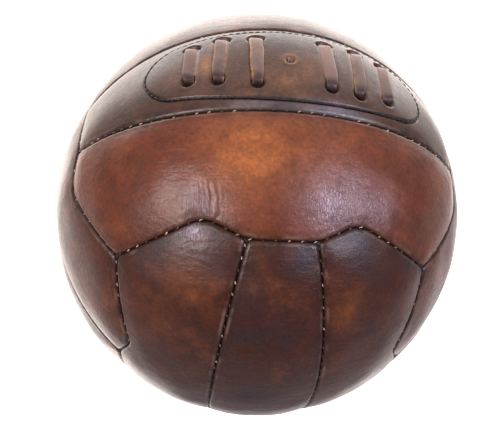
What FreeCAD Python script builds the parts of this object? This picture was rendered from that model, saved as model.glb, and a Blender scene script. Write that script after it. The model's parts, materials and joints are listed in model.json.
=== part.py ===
"""A laced leather football: eighteen stitched panels over linings, a bladder and a needle valve.

Millimetres. The origin is the ball's centre. +Z points out through the lacing and the valve.

The ball is laid out on the six faces of a cube. Each face carries three parallel strips, and the
strips of neighbouring faces run across each other. A face is described by three directions: its
normal, along its strips, and across them. A corner of a panel is written as the slopes
(normal, along, across) of the line from the centre through that corner.
"""

import FreeCAD
import Part

import math
import os

from FreeCAD import Placement, Rotation, Vector

# ---------------------------------------------------------------- the ball and its layers
BALL_RADIUS = 110.0
LEATHER = 2.2
LINING = 0.5
PATCH = 1.4
FLANGE_DEPTH = 4.0          # how far a panel's turned-in edge reaches below its skin
BLADDER_WALL = 0.8
BLADDER_CLEARANCE = 0.2     # between the bladder and the tips of the turned-in edges

SKIN_INSIDE = BALL_RADIUS - LEATHER
LINING_INSIDE = SKIN_INSIDE - LINING
PATCH_INSIDE = LINING_INSIDE - PATCH
FLANGE_INSIDE = SKIN_INSIDE - FLANGE_DEPTH
BLADDER_RADIUS = FLANGE_INSIDE - BLADDER_CLEARANCE

# ---------------------------------------------------------------- the cut of the panels
STRIP_END = 1.28            # a middle strip stops at this slope along its face
STRIP_HALF_WIDTH = 0.197    # and is this wide there
PEAK_END = 1.47             # the outer strips end in a peak at this slope
PEAK_ACROSS = 0.485
OUTER_STRIP_CENTRE = 0.45   # slope of an outer strip's middle, across its face
SEAM_BOW = 4.95             # a straight seam's plane passes this far from the ball's centre

SEAM_HALF_GAP = 0.2
CORNER_RADIUS = 2.5
RIM_RADIUS = 2.0            # the leather rolls over this far into a seam

CELL_INNER = 0.8 * BALL_RADIUS
CELL_OUTER = 2.2 * BALL_RADIUS

# ---------------------------------------------------------------- thread
THREAD_RADIUS = 0.35
THREAD_DEPTH = 1.0          # the thread lies this far down in the seam
THREAD_CORNER = 2.5         # the thread rounds a corner from this far on either side
THREAD_END_GAP = 1.6        # where three seams meet, each thread stops this far short

# ---------------------------------------------------------------- lacing
LACING_CENTRE = Vector(3.2, 0.0, 0.0)
PATCH_SEAM_HALF_LENGTH = 57.6
PATCH_SEAM_HALF_WIDTH = 20.0
PATCH_SIDE_RADIUS = 220.0
PATCH_MARGIN = 0.7          # the patch reaches this far past its own line of stitching
PATCH_THREAD_WIDTH = 0.8
PATCH_THREAD_PROUD = 0.1
PATCH_GROOVE_DEPTH = 0.5
PATCH_GROOVE_WIDTH = 1.0

LACE_WIDTH = 5.2
LACE_THICKNESS = 1.4
LACE_LIFT = 0.1
LACE_TAIL = 9.0
LACE_SLOT_CLEARANCE = 0.3
LACE_HOLE_RADIUS = 3.0
LACE_TOP = BALL_RADIUS + LACE_LIFT + LACE_THICKNESS
LACE_RUN_TOP = PATCH_INSIDE - LACE_LIFT
LACE_RUN_BOTTOM = LACE_RUN_TOP - LACE_THICKNESS
# each bar of lace runs from its slot (x, y) to its round hole (x, y), punched by hand
LEFT_BARS = (
    (Vector(-36.0, 10.8, 0), Vector(-36.4, -8.6, 0)),
    (Vector(-24.2, 13.6, 0), Vector(-25.2, -10.4, 0)),
    (Vector(-10.8, 13.2, 0), Vector(-10.6, -12.8, 0)),
)
RIGHT_BARS = (
    (Vector(16.8, 13.0, 0), Vector(17.6, -12.2, 0)),
    (Vector(30.6, 13.4, 0), Vector(29.2, -12.0, 0)),
    (Vector(42.8, 11.6, 0), Vector(42.0, -9.4, 0)),
)

# ---------------------------------------------------------------- valve
VALVE = Vector(2.0, -0.8, 0.0)
VALVE_HOLE_RADIUS = 1.8     # in the leather
STEM_RADIUS = 4.5
STEM_CLEARANCE = 0.3
VALVE_FLANGE_RADIUS = 10.0
VALVE_FLANGE = 0.6
PLUG_RADIUS = 2.5
PLUG_LENGTH = 7.0
PLUG_TOP = SKIN_INSIDE - 0.3
NEEDLE_RADIUS = 1.1

# each face: its normal, the direction along its strips, the direction across them,
# and the names of its strips on the low side, in the middle and on the high side
FACES = {
    "top": (Vector(0, 0, 1), Vector(1, 0, 0), Vector(0, 1, 0), ("front", "lacing", "back")),
    "bottom": (Vector(0, 0, -1), Vector(1, 0, 0), Vector(0, 1, 0), ("front", "middle", "back")),
    "front": (Vector(0, -1, 0), Vector(0, 0, 1), Vector(1, 0, 0), ("left", "middle", "right")),
    "back": (Vector(0, 1, 0), Vector(0, 0, 1), Vector(1, 0, 0), ("left", "middle", "right")),
    "left": (Vector(-1, 0, 0), Vector(0, 1, 0), Vector(0, 0, 1), ("lower", "middle", "upper")),
    "right": (Vector(1, 0, 0), Vector(0, 1, 0), Vector(0, 0, 1), ("lower", "middle", "upper")),
}


def unit(vector):
    """The same direction at length one."""
    return vector * (1.0 / vector.Length)


def towards(face, normal, along, across):
    """A direction on a face, from its three slopes."""
    return unit(face[0] * normal + face[1] * along + face[2] * across)


# ---------------------------------------------------------------- panel outlines as planes
# A plane is (unit normal, distance): the panel lies where normal . point >= distance.


def straight_plane(start, end, middle):
    """The plane through the centre and two corners, facing the panel's middle."""
    normal = unit(start.cross(end))
    if normal.dot(middle) < 0:
        normal = normal * -1
    return normal, 0.0


def bowed_plane(face, side, outwards):
    """The plane of the seam between the middle strip and the outer strip on one side."""
    corner = towards(face, 1, STRIP_END, STRIP_HALF_WIDTH)
    bow = SEAM_BOW / BALL_RADIUS
    slope = (corner.dot(face[2]) + bow) / corner.dot(face[0])
    normal = face[2] * side - face[0] * slope
    length = normal.Length
    normal = normal * (1.0 / length)
    distance = -SEAM_BOW / length
    if outwards:
        return normal, distance
    return normal * -1, -distance


def middle_strip(face):
    """The middle and the planes of a face's middle strip."""
    middle = face[0]
    corners = {}
    for end in (-1, 1):
        for side in (-1, 1):
            corners[end, side] = towards(face, 1, end * STRIP_END, side * STRIP_HALF_WIDTH)
    planes = [
        straight_plane(corners[1, -1], corners[1, 1], middle),
        bowed_plane(face, 1, False),
        straight_plane(corners[-1, 1], corners[-1, -1], middle),
        bowed_plane(face, -1, False),
    ]
    return middle, planes


def outer_strip(face, side):
    """The middle and the planes of one outer strip: two peaked ends, and a notched long side."""
    middle = towards(face, 1, 0, side * OUTER_STRIP_CENTRE)
    peaked_end = [(1, STRIP_END, STRIP_HALF_WIDTH), (1, PEAK_END, PEAK_ACROSS), (1, 1, 1)]
    notch = [(PEAK_END, PEAK_ACROSS, 1), (STRIP_END, STRIP_HALF_WIDTH, 1)]
    half = peaked_end + notch
    other_half = [(normal, -along, across) for normal, along, across in reversed(half)]
    corners = [towards(face, n, along, side * across) for n, along, across in half + other_half]
    planes = [straight_plane(a, b, middle) for a, b in zip(corners, corners[1:])]
    planes.append(bowed_plane(face, side, True))
    return middle, planes


def corner_line(first, second, middle, inset):
    """Where two planes meet, both moved inwards by inset: a point, and the way out of the ball."""
    (normal_a, distance_a), (normal_b, distance_b) = first, second
    distance_a += inset
    distance_b += inset
    lean = normal_a.dot(normal_b)
    share = 1.0 / (1.0 - lean * lean)
    weight_a = (distance_a - lean * distance_b) * share
    weight_b = (distance_b - lean * distance_a) * share
    outwards = unit(normal_a.cross(normal_b))
    if outwards.dot(middle) < 0:
        outwards = outwards * -1
    return normal_a * weight_a + normal_b * weight_b, outwards


def wedge(middle, planes, inset):
    """The solid inside a panel's planes, from below the linings to well outside the ball."""
    inner = []
    outer = []
    for index in range(len(planes)):
        point, outwards = corner_line(planes[index - 1], planes[index], middle, inset)
        inner.append(point + outwards * CELL_INNER)
        outer.append(point + outwards * CELL_OUTER)
    outlines = []
    for index in range(len(planes)):
        following = (index + 1) % len(planes)
        a, b = inner[index], inner[following]
        c, d = outer[following], outer[index]
        outlines.append([a, b, c, d, a])
        outlines.append([a, b, middle * CELL_INNER, a])
        outlines.append([d, c, middle * CELL_OUTER, d])
    faces = [Part.Face(Part.makePolygon(outline)) for outline in outlines]
    return Part.makeSolid(Part.makeShell(faces))


def ball(radius, middle=Vector(0, 0, 1)):
    """A ball at the origin, turned so that its own seam and poles are away from middle."""
    back = middle * -1
    pole = unit(back.cross(Vector(0.3, 0.5, 0.8)))
    solid = Part.makeSphere(radius)
    solid.Placement = Placement(Vector(), Rotation(back, pole.cross(back), pole, "XYZ"))
    return solid


def layer(outer, inner, middle=Vector(0, 0, 1)):
    """The space between two radii."""
    return ball(outer, middle).cut(ball(inner, middle))


def only_solid(shape):
    """A cut or a fusion's one solid, taken out of its compound."""
    if len(shape.Solids) != 1:
        raise ValueError("expected one solid, found %d" % len(shape.Solids))
    return shape.Solids[0]


# ---------------------------------------------------------------- panels and linings


def on_ball(point):
    """Whether a point lies on the ball's outside."""
    return abs(point.Length - BALL_RADIUS) < 0.001


def is_rim(edge):
    """An edge of a panel that lies on the outside of the ball, all the way."""
    halfway = edge.valueAt((edge.FirstParameter + edge.LastParameter) / 2)
    return on_ball(halfway) and all(on_ball(vertex.Point) for vertex in edge.Vertexes)


def is_corner(edge):
    """An edge of a panel that goes straight down into the ball from its outside."""
    ends = [vertex.Point for vertex in edge.Vertexes]
    return len(ends) == 2 and sum(on_ball(end) for end in ends) == 1


def panel(middle, planes):
    """A leather panel: its skin, its turned-in edges, rounded corners and a rolled rim."""
    block = ball(BALL_RADIUS, middle).common(wedge(middle, planes, SEAM_HALF_GAP))
    hollow = ball(SKIN_INSIDE, middle).common(wedge(middle, planes, SEAM_HALF_GAP + LEATHER))
    tray = only_solid(block.cut(hollow).cut(ball(FLANGE_INSIDE, middle)))
    tray = only_solid(tray.makeFillet(CORNER_RADIUS, [e for e in tray.Edges if is_corner(e)]))
    return only_solid(tray.makeFillet(RIM_RADIUS, [e for e in tray.Edges if is_rim(e)]))


def lining(middle, planes):
    """The cotton lining glued inside a panel, within its turned-in edges."""
    inset = SEAM_HALF_GAP + LEATHER
    return only_solid(layer(SKIN_INSIDE, LINING_INSIDE, middle).common(wedge(middle, planes, inset)))


# ---------------------------------------------------------------- seam threads


def cord(points):
    """A round cord along arcs. points are start, halfway, end, halfway, end and so on."""
    arcs = []
    for index in range(0, len(points) - 2, 2):
        arcs.append(Part.Arc(points[index], points[index + 1], points[index + 2]).toShape())
    path = Part.Wire(arcs)
    heading = arcs[0].tangentAt(arcs[0].FirstParameter)
    section = Part.Wire(Part.makeCircle(THREAD_RADIUS, points[0], heading))
    return only_solid(path.makePipeShell([section], True, False))


def between(start, end, distance):
    """The point on the thread's sphere this far from start, towards end."""
    radius = BALL_RADIUS - THREAD_DEPTH
    angle = distance / radius
    sideways = unit(end - start * start.dot(end))
    return (start * math.cos(angle) + sideways * math.sin(angle)) * radius


def arc_length(start, end):
    """The distance between two directions, along the thread's sphere."""
    return math.acos(start.dot(end)) * (BALL_RADIUS - THREAD_DEPTH)


def rounded(before, corner, after):
    """The middle of the arc that takes a thread round a corner."""
    corner_point = corner * (BALL_RADIUS - THREAD_DEPTH)
    half_turn = (before - corner_point).getAngle(after - corner_point) / 2
    share = 1.0 / (1.0 + math.sin(half_turn))
    return corner_point + ((before + after) * 0.5 - corner_point) * share


def zigzag_thread(face, end):
    """The thread of the seam at one end of a face: over both peaks and the flat between them."""
    slopes = [(1, -1), (PEAK_END, -PEAK_ACROSS), (STRIP_END, -STRIP_HALF_WIDTH)]
    slopes += [(along, -across) for along, across in reversed(slopes)]
    corners = [towards(face, 1, end * along, across) for along, across in slopes]
    points = [between(corners[0], corners[1], THREAD_END_GAP)]
    for index in range(1, len(corners)):
        last, corner = corners[index - 1], corners[index]
        points.append(between(last, corner, arc_length(last, corner) / 2))
        if corner is corners[-1]:
            points.append(between(corner, last, THREAD_END_GAP))
        else:
            before = between(corner, last, THREAD_CORNER)
            after = between(corner, corners[index + 1], THREAD_CORNER)
            points += [before, rounded(before, corner, after), after]
    return cord(points)


def bowed_thread(face, side):
    """The thread of the seam between a face's middle strip and one of its outer strips."""
    normal, distance = bowed_plane(face, side, True)
    radius = BALL_RADIUS - THREAD_DEPTH
    centre = normal * distance
    reach = math.sqrt(radius * radius - distance * distance)
    crest = unit(face[0] - normal * normal.dot(face[0]))
    corner = towards(face, 1, STRIP_END, side * STRIP_HALF_WIDTH)
    half_angle = crest.getAngle(corner - normal * normal.dot(corner)) - THREAD_END_GAP / radius
    points = []
    for turn in (-half_angle, 0.0, half_angle):
        points.append(centre + (crest * math.cos(turn) + face[1] * math.sin(turn)) * reach)
    return cord(points)


# ---------------------------------------------------------------- the lacing and its patch


def oval(growth):
    """The patch's outline in plan, grown by growth: two long arcs and two end arcs, as a face."""
    half_length = PATCH_SEAM_HALF_LENGTH + growth
    half_width = PATCH_SEAM_HALF_WIDTH + growth
    side = PATCH_SIDE_RADIUS + growth
    drop = side - half_width
    # the end arc touches the side arc from inside: |centres| = side - end
    end = (side * side - drop * drop - half_length * half_length) / (2 * (side - half_length))
    end_centre = half_length - end
    touch = unit(Vector(end_centre, drop, 0)) * side - Vector(0, drop, 0)
    corners = [
        touch,
        Vector(0, half_width, 0),
        Vector(-touch.x, touch.y, 0),
        Vector(-half_length, 0, 0),
        Vector(-touch.x, -touch.y, 0),
        Vector(0, -half_width, 0),
        Vector(touch.x, -touch.y, 0),
        Vector(half_length, 0, 0),
        touch,
    ]
    placed = [corner + LACING_CENTRE for corner in corners]
    arcs = []
    for index in range(0, len(placed) - 1, 2):
        arcs.append(Part.Arc(placed[index], placed[index + 1], placed[index + 2]).toShape())
    return Part.Face(Part.Wire(arcs))


def oval_block(growth):
    """The patch's outline as an upright block through the top of the ball."""
    outline = oval(growth)
    outline.translate(Vector(0, 0, CELL_INNER))
    return outline.extrude(Vector(0, 0, 2 * (BALL_RADIUS - CELL_INNER)))


def stitch_ring(width):
    """An upright ring along the patch's line of stitching."""
    return oval_block(width / 2).cut(oval_block(-width / 2))


def strap(start, end, width, top, bottom):
    """A strap that follows the ball between two places in plan, between two radii."""
    run = end - start
    block = Part.makeBox(run.Length, width, 2 * BALL_RADIUS, Vector(0, -width / 2, CELL_INNER))
    block.rotate(Vector(), Vector(0, 0, 1), math.degrees(math.atan2(run.y, run.x)))
    block.translate(start)
    return layer(top, bottom).common(block)


def leg(bar, at_slot):
    """The end of a bar of lace, where it turns down through the panel, lining and patch."""
    start, end = bar if at_slot else (bar[1], bar[0])
    inwards = unit(end - start) * LACE_THICKNESS
    return strap(start, start + inwards, LACE_WIDTH, LACE_TOP, LACE_RUN_BOTTOM)


def under_run(start, end):
    """A stretch of lace that lies under the patch."""
    return strap(start, end, LACE_WIDTH, LACE_RUN_TOP, LACE_RUN_BOTTOM)


def lace(bars, tail_way):
    """One thong: over in bars, down and up through the panel, and along under it between bars."""
    pieces = []
    for bar in bars:
        slot, hole = bar
        pieces.append(strap(slot, hole, LACE_WIDTH, LACE_TOP, BALL_RADIUS + LACE_LIFT))
        pieces.append(leg(bar, True))
        pieces.append(leg(bar, False))
    for bar, following in zip(bars, bars[1:]):
        pieces.append(under_run(bar[1], following[0]))
    first_slot, last_hole = bars[0][0], bars[-1][1]
    pieces.append(under_run(first_slot, first_slot + Vector(0, -LACE_TAIL, 0)))
    pieces.append(under_run(last_hole, last_hole + Vector(tail_way * LACE_TAIL, 0, 0)))
    return only_solid(pieces[0].multiFuse(pieces[1:]).removeSplitter())


def lace_cutters():
    """A flat slot at one end of each bar of lace, and a round hole at the other."""
    cutters = []
    for slot, hole in LEFT_BARS + RIGHT_BARS:
        inwards = unit(hole - slot)
        start = slot - inwards * LACE_SLOT_CLEARANCE
        end = slot + inwards * (LACE_THICKNESS + LACE_SLOT_CLEARANCE)
        width = LACE_WIDTH + 2 * LACE_SLOT_CLEARANCE
        cutters.append(strap(start, end, width, BALL_RADIUS + LACE_THICKNESS, CELL_INNER))
        centre = hole - inwards * (LACE_THICKNESS / 2)
        cutters.append(upright(centre, LACE_HOLE_RADIUS, CELL_INNER, BALL_RADIUS + LACE_THICKNESS))
    return cutters


def upright(place, radius, bottom, top):
    """An upright cylinder at a place in plan."""
    return Part.makeCylinder(radius, top - bottom, Vector(place.x, place.y, bottom))


# ---------------------------------------------------------------- bladder and valve


def bladder():
    """The inflated bladder, with the hole that the valve's plug passes through."""
    skin = layer(BLADDER_RADIUS, BLADDER_RADIUS - BLADDER_WALL)
    return only_solid(skin.cut(upright(VALVE, PLUG_RADIUS, CELL_INNER, BALL_RADIUS)))


def valve_body():
    """The moulded valve: a flange on the bladder, and a stem up to the underside of the leather."""
    flange = layer(BLADDER_RADIUS + VALVE_FLANGE, BLADDER_RADIUS)
    flange = flange.common(upright(VALVE, VALVE_FLANGE_RADIUS, CELL_INNER, BALL_RADIUS))
    stem = upright(VALVE, STEM_RADIUS, CELL_INNER, PLUG_TOP).cut(ball(BLADDER_RADIUS))
    body = flange.fuse(stem).cut(upright(VALVE, PLUG_RADIUS, CELL_INNER, BALL_RADIUS))
    return only_solid(body.removeSplitter())


def valve_plug():
    """The soft plug in the valve, with the hole that an inflating needle goes through."""
    plug = upright(VALVE, PLUG_RADIUS, PLUG_TOP - PLUG_LENGTH, PLUG_TOP)
    return only_solid(plug.cut(upright(VALVE, NEEDLE_RADIUS, CELL_INNER, BALL_RADIUS)))


# ---------------------------------------------------------------- the whole ball


def lacing_openings():
    """Everything that is punched through the lacing panel's lining and patch."""
    stem_hole = upright(VALVE, STEM_RADIUS + STEM_CLEARANCE, CELL_INNER, SKIN_INSIDE)
    return lace_cutters() + [stem_hole]


def dress_lacing_panel(shape):
    """Punches the lacing panel for the laces and the needle, and grooves it for the patch's seam."""
    shape = shape.cut(lace_cutters())
    shape = shape.cut(upright(VALVE, VALVE_HOLE_RADIUS, CELL_INNER, 2 * BALL_RADIUS))
    groove = layer(2 * BALL_RADIUS, BALL_RADIUS - PATCH_GROOVE_DEPTH)
    return only_solid(shape.cut(groove.common(stitch_ring(PATCH_GROOVE_WIDTH))))


def build_face(name, face):
    """The panels, linings and straight seam threads of one face, by node name."""
    strips = [outer_strip(face, -1), middle_strip(face), outer_strip(face, 1)]
    nodes = {}
    linings = []
    for strip_name, (middle, planes) in zip(face[3], strips):
        shape = panel(middle, planes)
        inside = lining(middle, planes)
        if strip_name == "lacing":
            shape = dress_lacing_panel(shape)
            inside = only_solid(inside.cut(lacing_openings()))
        nodes["%s_%s_panel" % (name, strip_name)] = shape
        linings.append(inside)
    nodes["%s_linings" % name] = Part.makeCompound(linings)
    nodes["%s_straight_seam_threads" % name] = Part.makeCompound(
        [bowed_thread(face, side) for side in (-1, 1)]
    )
    return nodes


def build_zigzag_threads():
    """The twelve threads along the cube's edges, each on the face whose strips end there."""
    ends = {
        "top": ("left", "right"),
        "bottom": ("left", "right"),
        "front": ("bottom", "top"),
        "back": ("bottom", "top"),
        "left": ("front", "back"),
        "right": ("front", "back"),
    }
    nodes = {}
    for name, neighbours in ends.items():
        for end, neighbour in zip((-1, 1), neighbours):
            nodes["%s_%s_seam_thread" % (name, neighbour)] = zigzag_thread(FACES[name], end)
    return nodes


def build_lacing():
    """The patch, its thread and the two laces."""
    patch = layer(LINING_INSIDE, PATCH_INSIDE).common(oval_block(PATCH_MARGIN))
    thread_top = BALL_RADIUS + PATCH_THREAD_PROUD
    thread = layer(thread_top, BALL_RADIUS - PATCH_GROOVE_DEPTH)
    return {
        "lacing_patch": only_solid(patch.cut(lacing_openings())),
        "patch_thread": only_solid(thread.common(stitch_ring(PATCH_THREAD_WIDTH))),
        "left_lace": lace(LEFT_BARS, -1),
        "right_lace": lace(RIGHT_BARS, 1),
    }


def build():
    """Every node of the ball, by name."""
    nodes = {}
    for name, face in FACES.items():
        nodes.update(build_face(name, face))
    nodes.update(build_zigzag_threads())
    nodes.update(build_lacing())
    nodes["bladder"] = bladder()
    nodes["valve_body"] = valve_body()
    nodes["valve_plug"] = valve_plug()
    return nodes


def main():
    """Builds the ball, checks each node's solids and writes them."""
    os.makedirs("parts", exist_ok=True)
    for name, shape in build().items():
        if not shape.isValid() or shape.Volume <= 0:
            raise ValueError("%s is not a valid solid" % name)
        shape.exportStep("parts/%s.step" % name)
        print("%-34s %2d solids %9.0f mm3" % (name, len(shape.Solids), shape.Volume))


main()
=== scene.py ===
"""Looks of a laced leather football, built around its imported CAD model.

Metres, in the CAD's own frame: the origin is the ball's centre, and +Z points out through the
lacing and the valve. The ball is laid out on the six faces of a cube. Each face carries three
parallel strips of leather, and the strips of neighbouring faces run across each other. A corner
of a panel is written as the slopes (normal, along, across) of the line from the centre to it.
"""

from __future__ import annotations

import json
import logging
import math
from dataclasses import dataclass, field
from enum import Enum

import bpy
import numpy as np
from mathutils import Matrix, Vector


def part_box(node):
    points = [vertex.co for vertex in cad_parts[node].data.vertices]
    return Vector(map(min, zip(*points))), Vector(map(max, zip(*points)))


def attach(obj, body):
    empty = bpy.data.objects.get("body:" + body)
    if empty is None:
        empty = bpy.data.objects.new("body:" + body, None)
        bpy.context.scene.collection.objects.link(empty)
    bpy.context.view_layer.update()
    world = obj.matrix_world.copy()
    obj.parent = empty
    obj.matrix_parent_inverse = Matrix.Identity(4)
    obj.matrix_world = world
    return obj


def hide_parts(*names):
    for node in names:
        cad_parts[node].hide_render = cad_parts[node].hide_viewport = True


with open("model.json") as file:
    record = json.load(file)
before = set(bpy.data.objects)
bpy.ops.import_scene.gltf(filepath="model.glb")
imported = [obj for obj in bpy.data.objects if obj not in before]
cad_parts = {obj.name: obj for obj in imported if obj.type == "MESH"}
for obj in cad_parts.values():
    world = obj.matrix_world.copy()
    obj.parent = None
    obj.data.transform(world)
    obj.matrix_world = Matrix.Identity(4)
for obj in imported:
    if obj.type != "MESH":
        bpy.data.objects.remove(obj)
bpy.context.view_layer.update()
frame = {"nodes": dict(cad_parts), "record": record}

LOG = logging.getLogger("football")
Array = np.ndarray
Colour = tuple[float, float, float]
MM = 0.001
BODY = "root"
BALL_RADIUS = -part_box("bottom_middle_panel")[0].z
SAME_DIRECTION = 1e-7
SAME_PLACE = 1e-6


# ---------------------------------------------------------------- arithmetic on arrays


def unit(vectors: Array) -> Array:
    """Vectors at length one: each is divided by its own length.

    Args:
        vectors: any array whose last axis holds x, y and z.

    Returns:
        An array of the same shape.
    """
    return vectors / np.linalg.norm(vectors, axis=-1, keepdims=True)


def bell(distance: Array, reach: float) -> Array:
    """A soft spot: e to the power of minus the square of distance over reach."""
    return np.exp(-((distance / reach) ** 2))


def smooth_step(value: Array, low: float, high: float) -> Array:
    """Nought below low, one above high, and 3t squared minus 2t cubed between them."""
    t = np.clip((value - low) / (high - low), 0.0, 1.0)
    return t * t * (3.0 - 2.0 * t)


def eased(count: int, crowding: float) -> Array:
    """Steps from nought to one that crowd together at both ends.

    The step is t minus crowding times sin(2 pi t) over 2 pi, so the spacing at the ends is
    one minus crowding of the even spacing, and one plus crowding in the middle.

    Args:
        count: how many values.
        crowding: nought for even steps, towards one for very fine ends.

    Returns:
        count values, rising from 0 to 1.
    """
    t = np.linspace(0.0, 1.0, count)
    return t - crowding * np.sin(2.0 * math.pi * t) / (2.0 * math.pi)


@dataclass(frozen=True)
class Ripple:
    """Gentle unevenness: a sum of plane waves that run in random directions.

    Each wave is cos(k . p + phase). The wave numbers k lie between those of the longest and
    the shortest wave, and the sum is scaled so that its usual size is about one.
    """

    seed: int
    longest: float
    shortest: float
    waves: int = 28

    def at(self, points: Array) -> Array:
        """The height of the ripple at each point.

        Args:
            points: n points in metres.

        Returns:
            n heights, of about one.
        """
        draw = np.random.default_rng(self.seed)
        ways = unit(draw.normal(size=(self.waves, 3)))
        lengths = np.exp(draw.uniform(math.log(self.shortest), math.log(self.longest), self.waves))
        phases = draw.uniform(0.0, 2.0 * math.pi, self.waves)
        wave_numbers = ways * (2.0 * math.pi / lengths)[:, None]
        total = np.cos(points @ wave_numbers.T + phases).sum(axis=-1)
        return total * math.sqrt(2.0 / self.waves)


# ---------------------------------------------------------------- the layout of the panels


@dataclass(frozen=True)
class Face:
    """One face of the cube: its normal, the way its strips run, and the way across them."""

    name: str
    normal: Colour
    along: Colour
    across: Colour
    strips: tuple[str, str, str]

    def towards(self, slopes: object) -> Array:
        """Directions at length one, from slopes (normal, along, across) on this face."""
        basis = np.array([self.normal, self.along, self.across], float)
        return unit(np.asarray(slopes, float) @ basis)


FACES = {
    f.name: f
    for f in (
        Face("top", (0, 0, 1), (1, 0, 0), (0, 1, 0), ("front", "lacing", "back")),
        Face("bottom", (0, 0, -1), (1, 0, 0), (0, 1, 0), ("front", "middle", "back")),
        Face("front", (0, -1, 0), (0, 0, 1), (1, 0, 0), ("left", "middle", "right")),
        Face("back", (0, 1, 0), (0, 0, 1), (1, 0, 0), ("left", "middle", "right")),
        Face("left", (-1, 0, 0), (0, 1, 0), (0, 0, 1), ("lower", "middle", "upper")),
        Face("right", (1, 0, 0), (0, 1, 0), (0, 0, 1), ("lower", "middle", "upper")),
    )
}


@dataclass(frozen=True)
class Cut:
    """How the panels are cut, as slopes on a face, the same as in the CAD model."""

    strip_end: float = 1.28
    strip_half_width: float = 0.197
    peak_end: float = 1.47
    peak_across: float = 0.485
    seam_bow: float = 4.95 * MM
    corner_round: float = 4.6 * MM
    chain_step: float = 3.0 * MM
    stitch_pitch: float = 4.8 * MM


CUT = Cut()


def arc(start: Array, end: Array) -> Array:
    """Directions along the great circle from start to end, about a chain step apart.

    At share t of the whole angle a, the direction is
    (sin((1 - t) a) start + sin(t a) end) / sin(a).

    Args:
        start: the first direction.
        end: the last direction.

    Returns:
        The directions, both ends included.
    """
    angle = math.acos(float(np.clip(start @ end, -1.0, 1.0)))
    count = max(2, math.ceil(angle * BALL_RADIUS / CUT.chain_step) + 1)
    t = np.linspace(0.0, 1.0, count)[:, None]
    return (np.sin((1.0 - t) * angle) * start + np.sin(t * angle) * end) / math.sin(angle)


def short_of(corner: Array, other: Array, distance: float) -> Array:
    """The direction this far from a corner, on the way to another one.

    It is cos(a) corner + sin(a) sideways, where a is the distance over the ball's radius.

    Args:
        corner: the direction to start from.
        other: the direction to head for.
        distance: how far to go, in metres.

    Returns:
        One direction.
    """
    angle = distance / BALL_RADIUS
    sideways = unit(other - corner * (corner @ other))
    return corner * math.cos(angle) + sideways * math.sin(angle)


def turn(before: Array, corner: Array, after: Array, count: int = 9) -> Array:
    """A rounded corner: (1-t)^2 before + 2t(1-t) corner + t^2 after, brought to length one."""
    t = np.linspace(0.0, 1.0, count)[:, None]
    return unit((1 - t) ** 2 * before + 2 * t * (1 - t) * corner + t**2 * after)


@dataclass(frozen=True)
class Chain:
    """A line on the ball, as directions and the distance to each from the line's start."""

    points: Array
    lengths: Array

    @classmethod
    def through(cls, points: Array) -> "Chain":
        """A chain from its directions, without repeats, measured on the ball's surface.

        Args:
            points: the directions, in order.

        Returns:
            The chain.
        """
        steps = np.linalg.norm(np.diff(points, axis=0), axis=1)
        points = points[np.concatenate([[True], steps > SAME_DIRECTION])]
        steps = np.linalg.norm(np.diff(points, axis=0), axis=1) * BALL_RADIUS
        return cls(points, np.concatenate([[0.0], np.cumsum(steps)]))

    @property
    def length(self) -> float:
        """The whole length."""
        return float(self.lengths[-1])

    def at(self, distances: Array) -> Array:
        """The directions at these distances from the start, straight between the points."""
        columns = [np.interp(distances, self.lengths, self.points[:, k]) for k in range(3)]
        return unit(np.stack(columns, axis=-1))

    def part(self, start: float, end: float) -> "Chain":
        """The stretch between two distances, still measured from the whole chain's start.

        Args:
            start: the first distance.
            end: the last distance.

        Returns:
            A chain of the same line between them.
        """
        inside = (self.lengths > start + SAME_PLACE) & (self.lengths < end - SAME_PLACE)
        lengths = np.concatenate([[start], self.lengths[inside], [end]])
        return Chain(self.at(lengths), lengths)

    def heading(self, distances: Array) -> Array:
        """The way the chain runs at these distances: the difference over a tenth of a mm."""
        step = 0.1 * MM
        return unit(self.at(distances + step) - self.at(distances - step))


@dataclass(frozen=True)
class Seam:
    """A seam between panels: its line, its number of stitches and the thread's CAD node."""

    chain: Chain
    node: str
    corners: tuple[float, ...] = ()

    @property
    def stitches(self) -> int:
        """A whole number of stitches, as near as can be to the pitch."""
        return round(self.chain.length / CUT.stitch_pitch)


def bowed_seam(face: Face, side: int) -> Seam:
    """The seam between a face's middle strip and one of its outer strips.

    It is the circle that a plane cuts from the ball. The plane goes through the two ends of
    the seam and passes the ball's centre at a small distance, on the other side of it, which
    bows the seam outwards. A point on it is centre + reach (cos a crest + sin a along).

    Args:
        face: the face that the strips are on.
        side: 1 for the high side of the middle strip, -1 for the low side.

    Returns:
        The seam, from the low end of the strip to its high end.
    """
    corner = face.towards((1, CUT.strip_end, side * CUT.strip_half_width))
    normal_axis, across_axis = np.array(face.normal, float), np.array(face.across, float) * side
    bow = CUT.seam_bow / BALL_RADIUS
    slope = (corner @ across_axis + bow) / (corner @ normal_axis)
    lean = math.hypot(1.0, slope)
    plane = (across_axis - slope * normal_axis) / lean
    centre = plane * (-bow / lean)
    reach = math.sqrt(1.0 - (bow / lean) ** 2)
    crest = unit(normal_axis - plane * (plane @ normal_axis))
    flat = unit(corner - plane * (plane @ corner))
    half = math.acos(float(crest @ flat))
    angles = np.linspace(-half, half, 73)[:, None]
    points = centre + reach * (np.cos(angles) * crest + np.sin(angles) * np.array(face.along))
    return Seam(Chain.through(unit(points)), f"{face.name}_straight_seam_threads")


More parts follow.
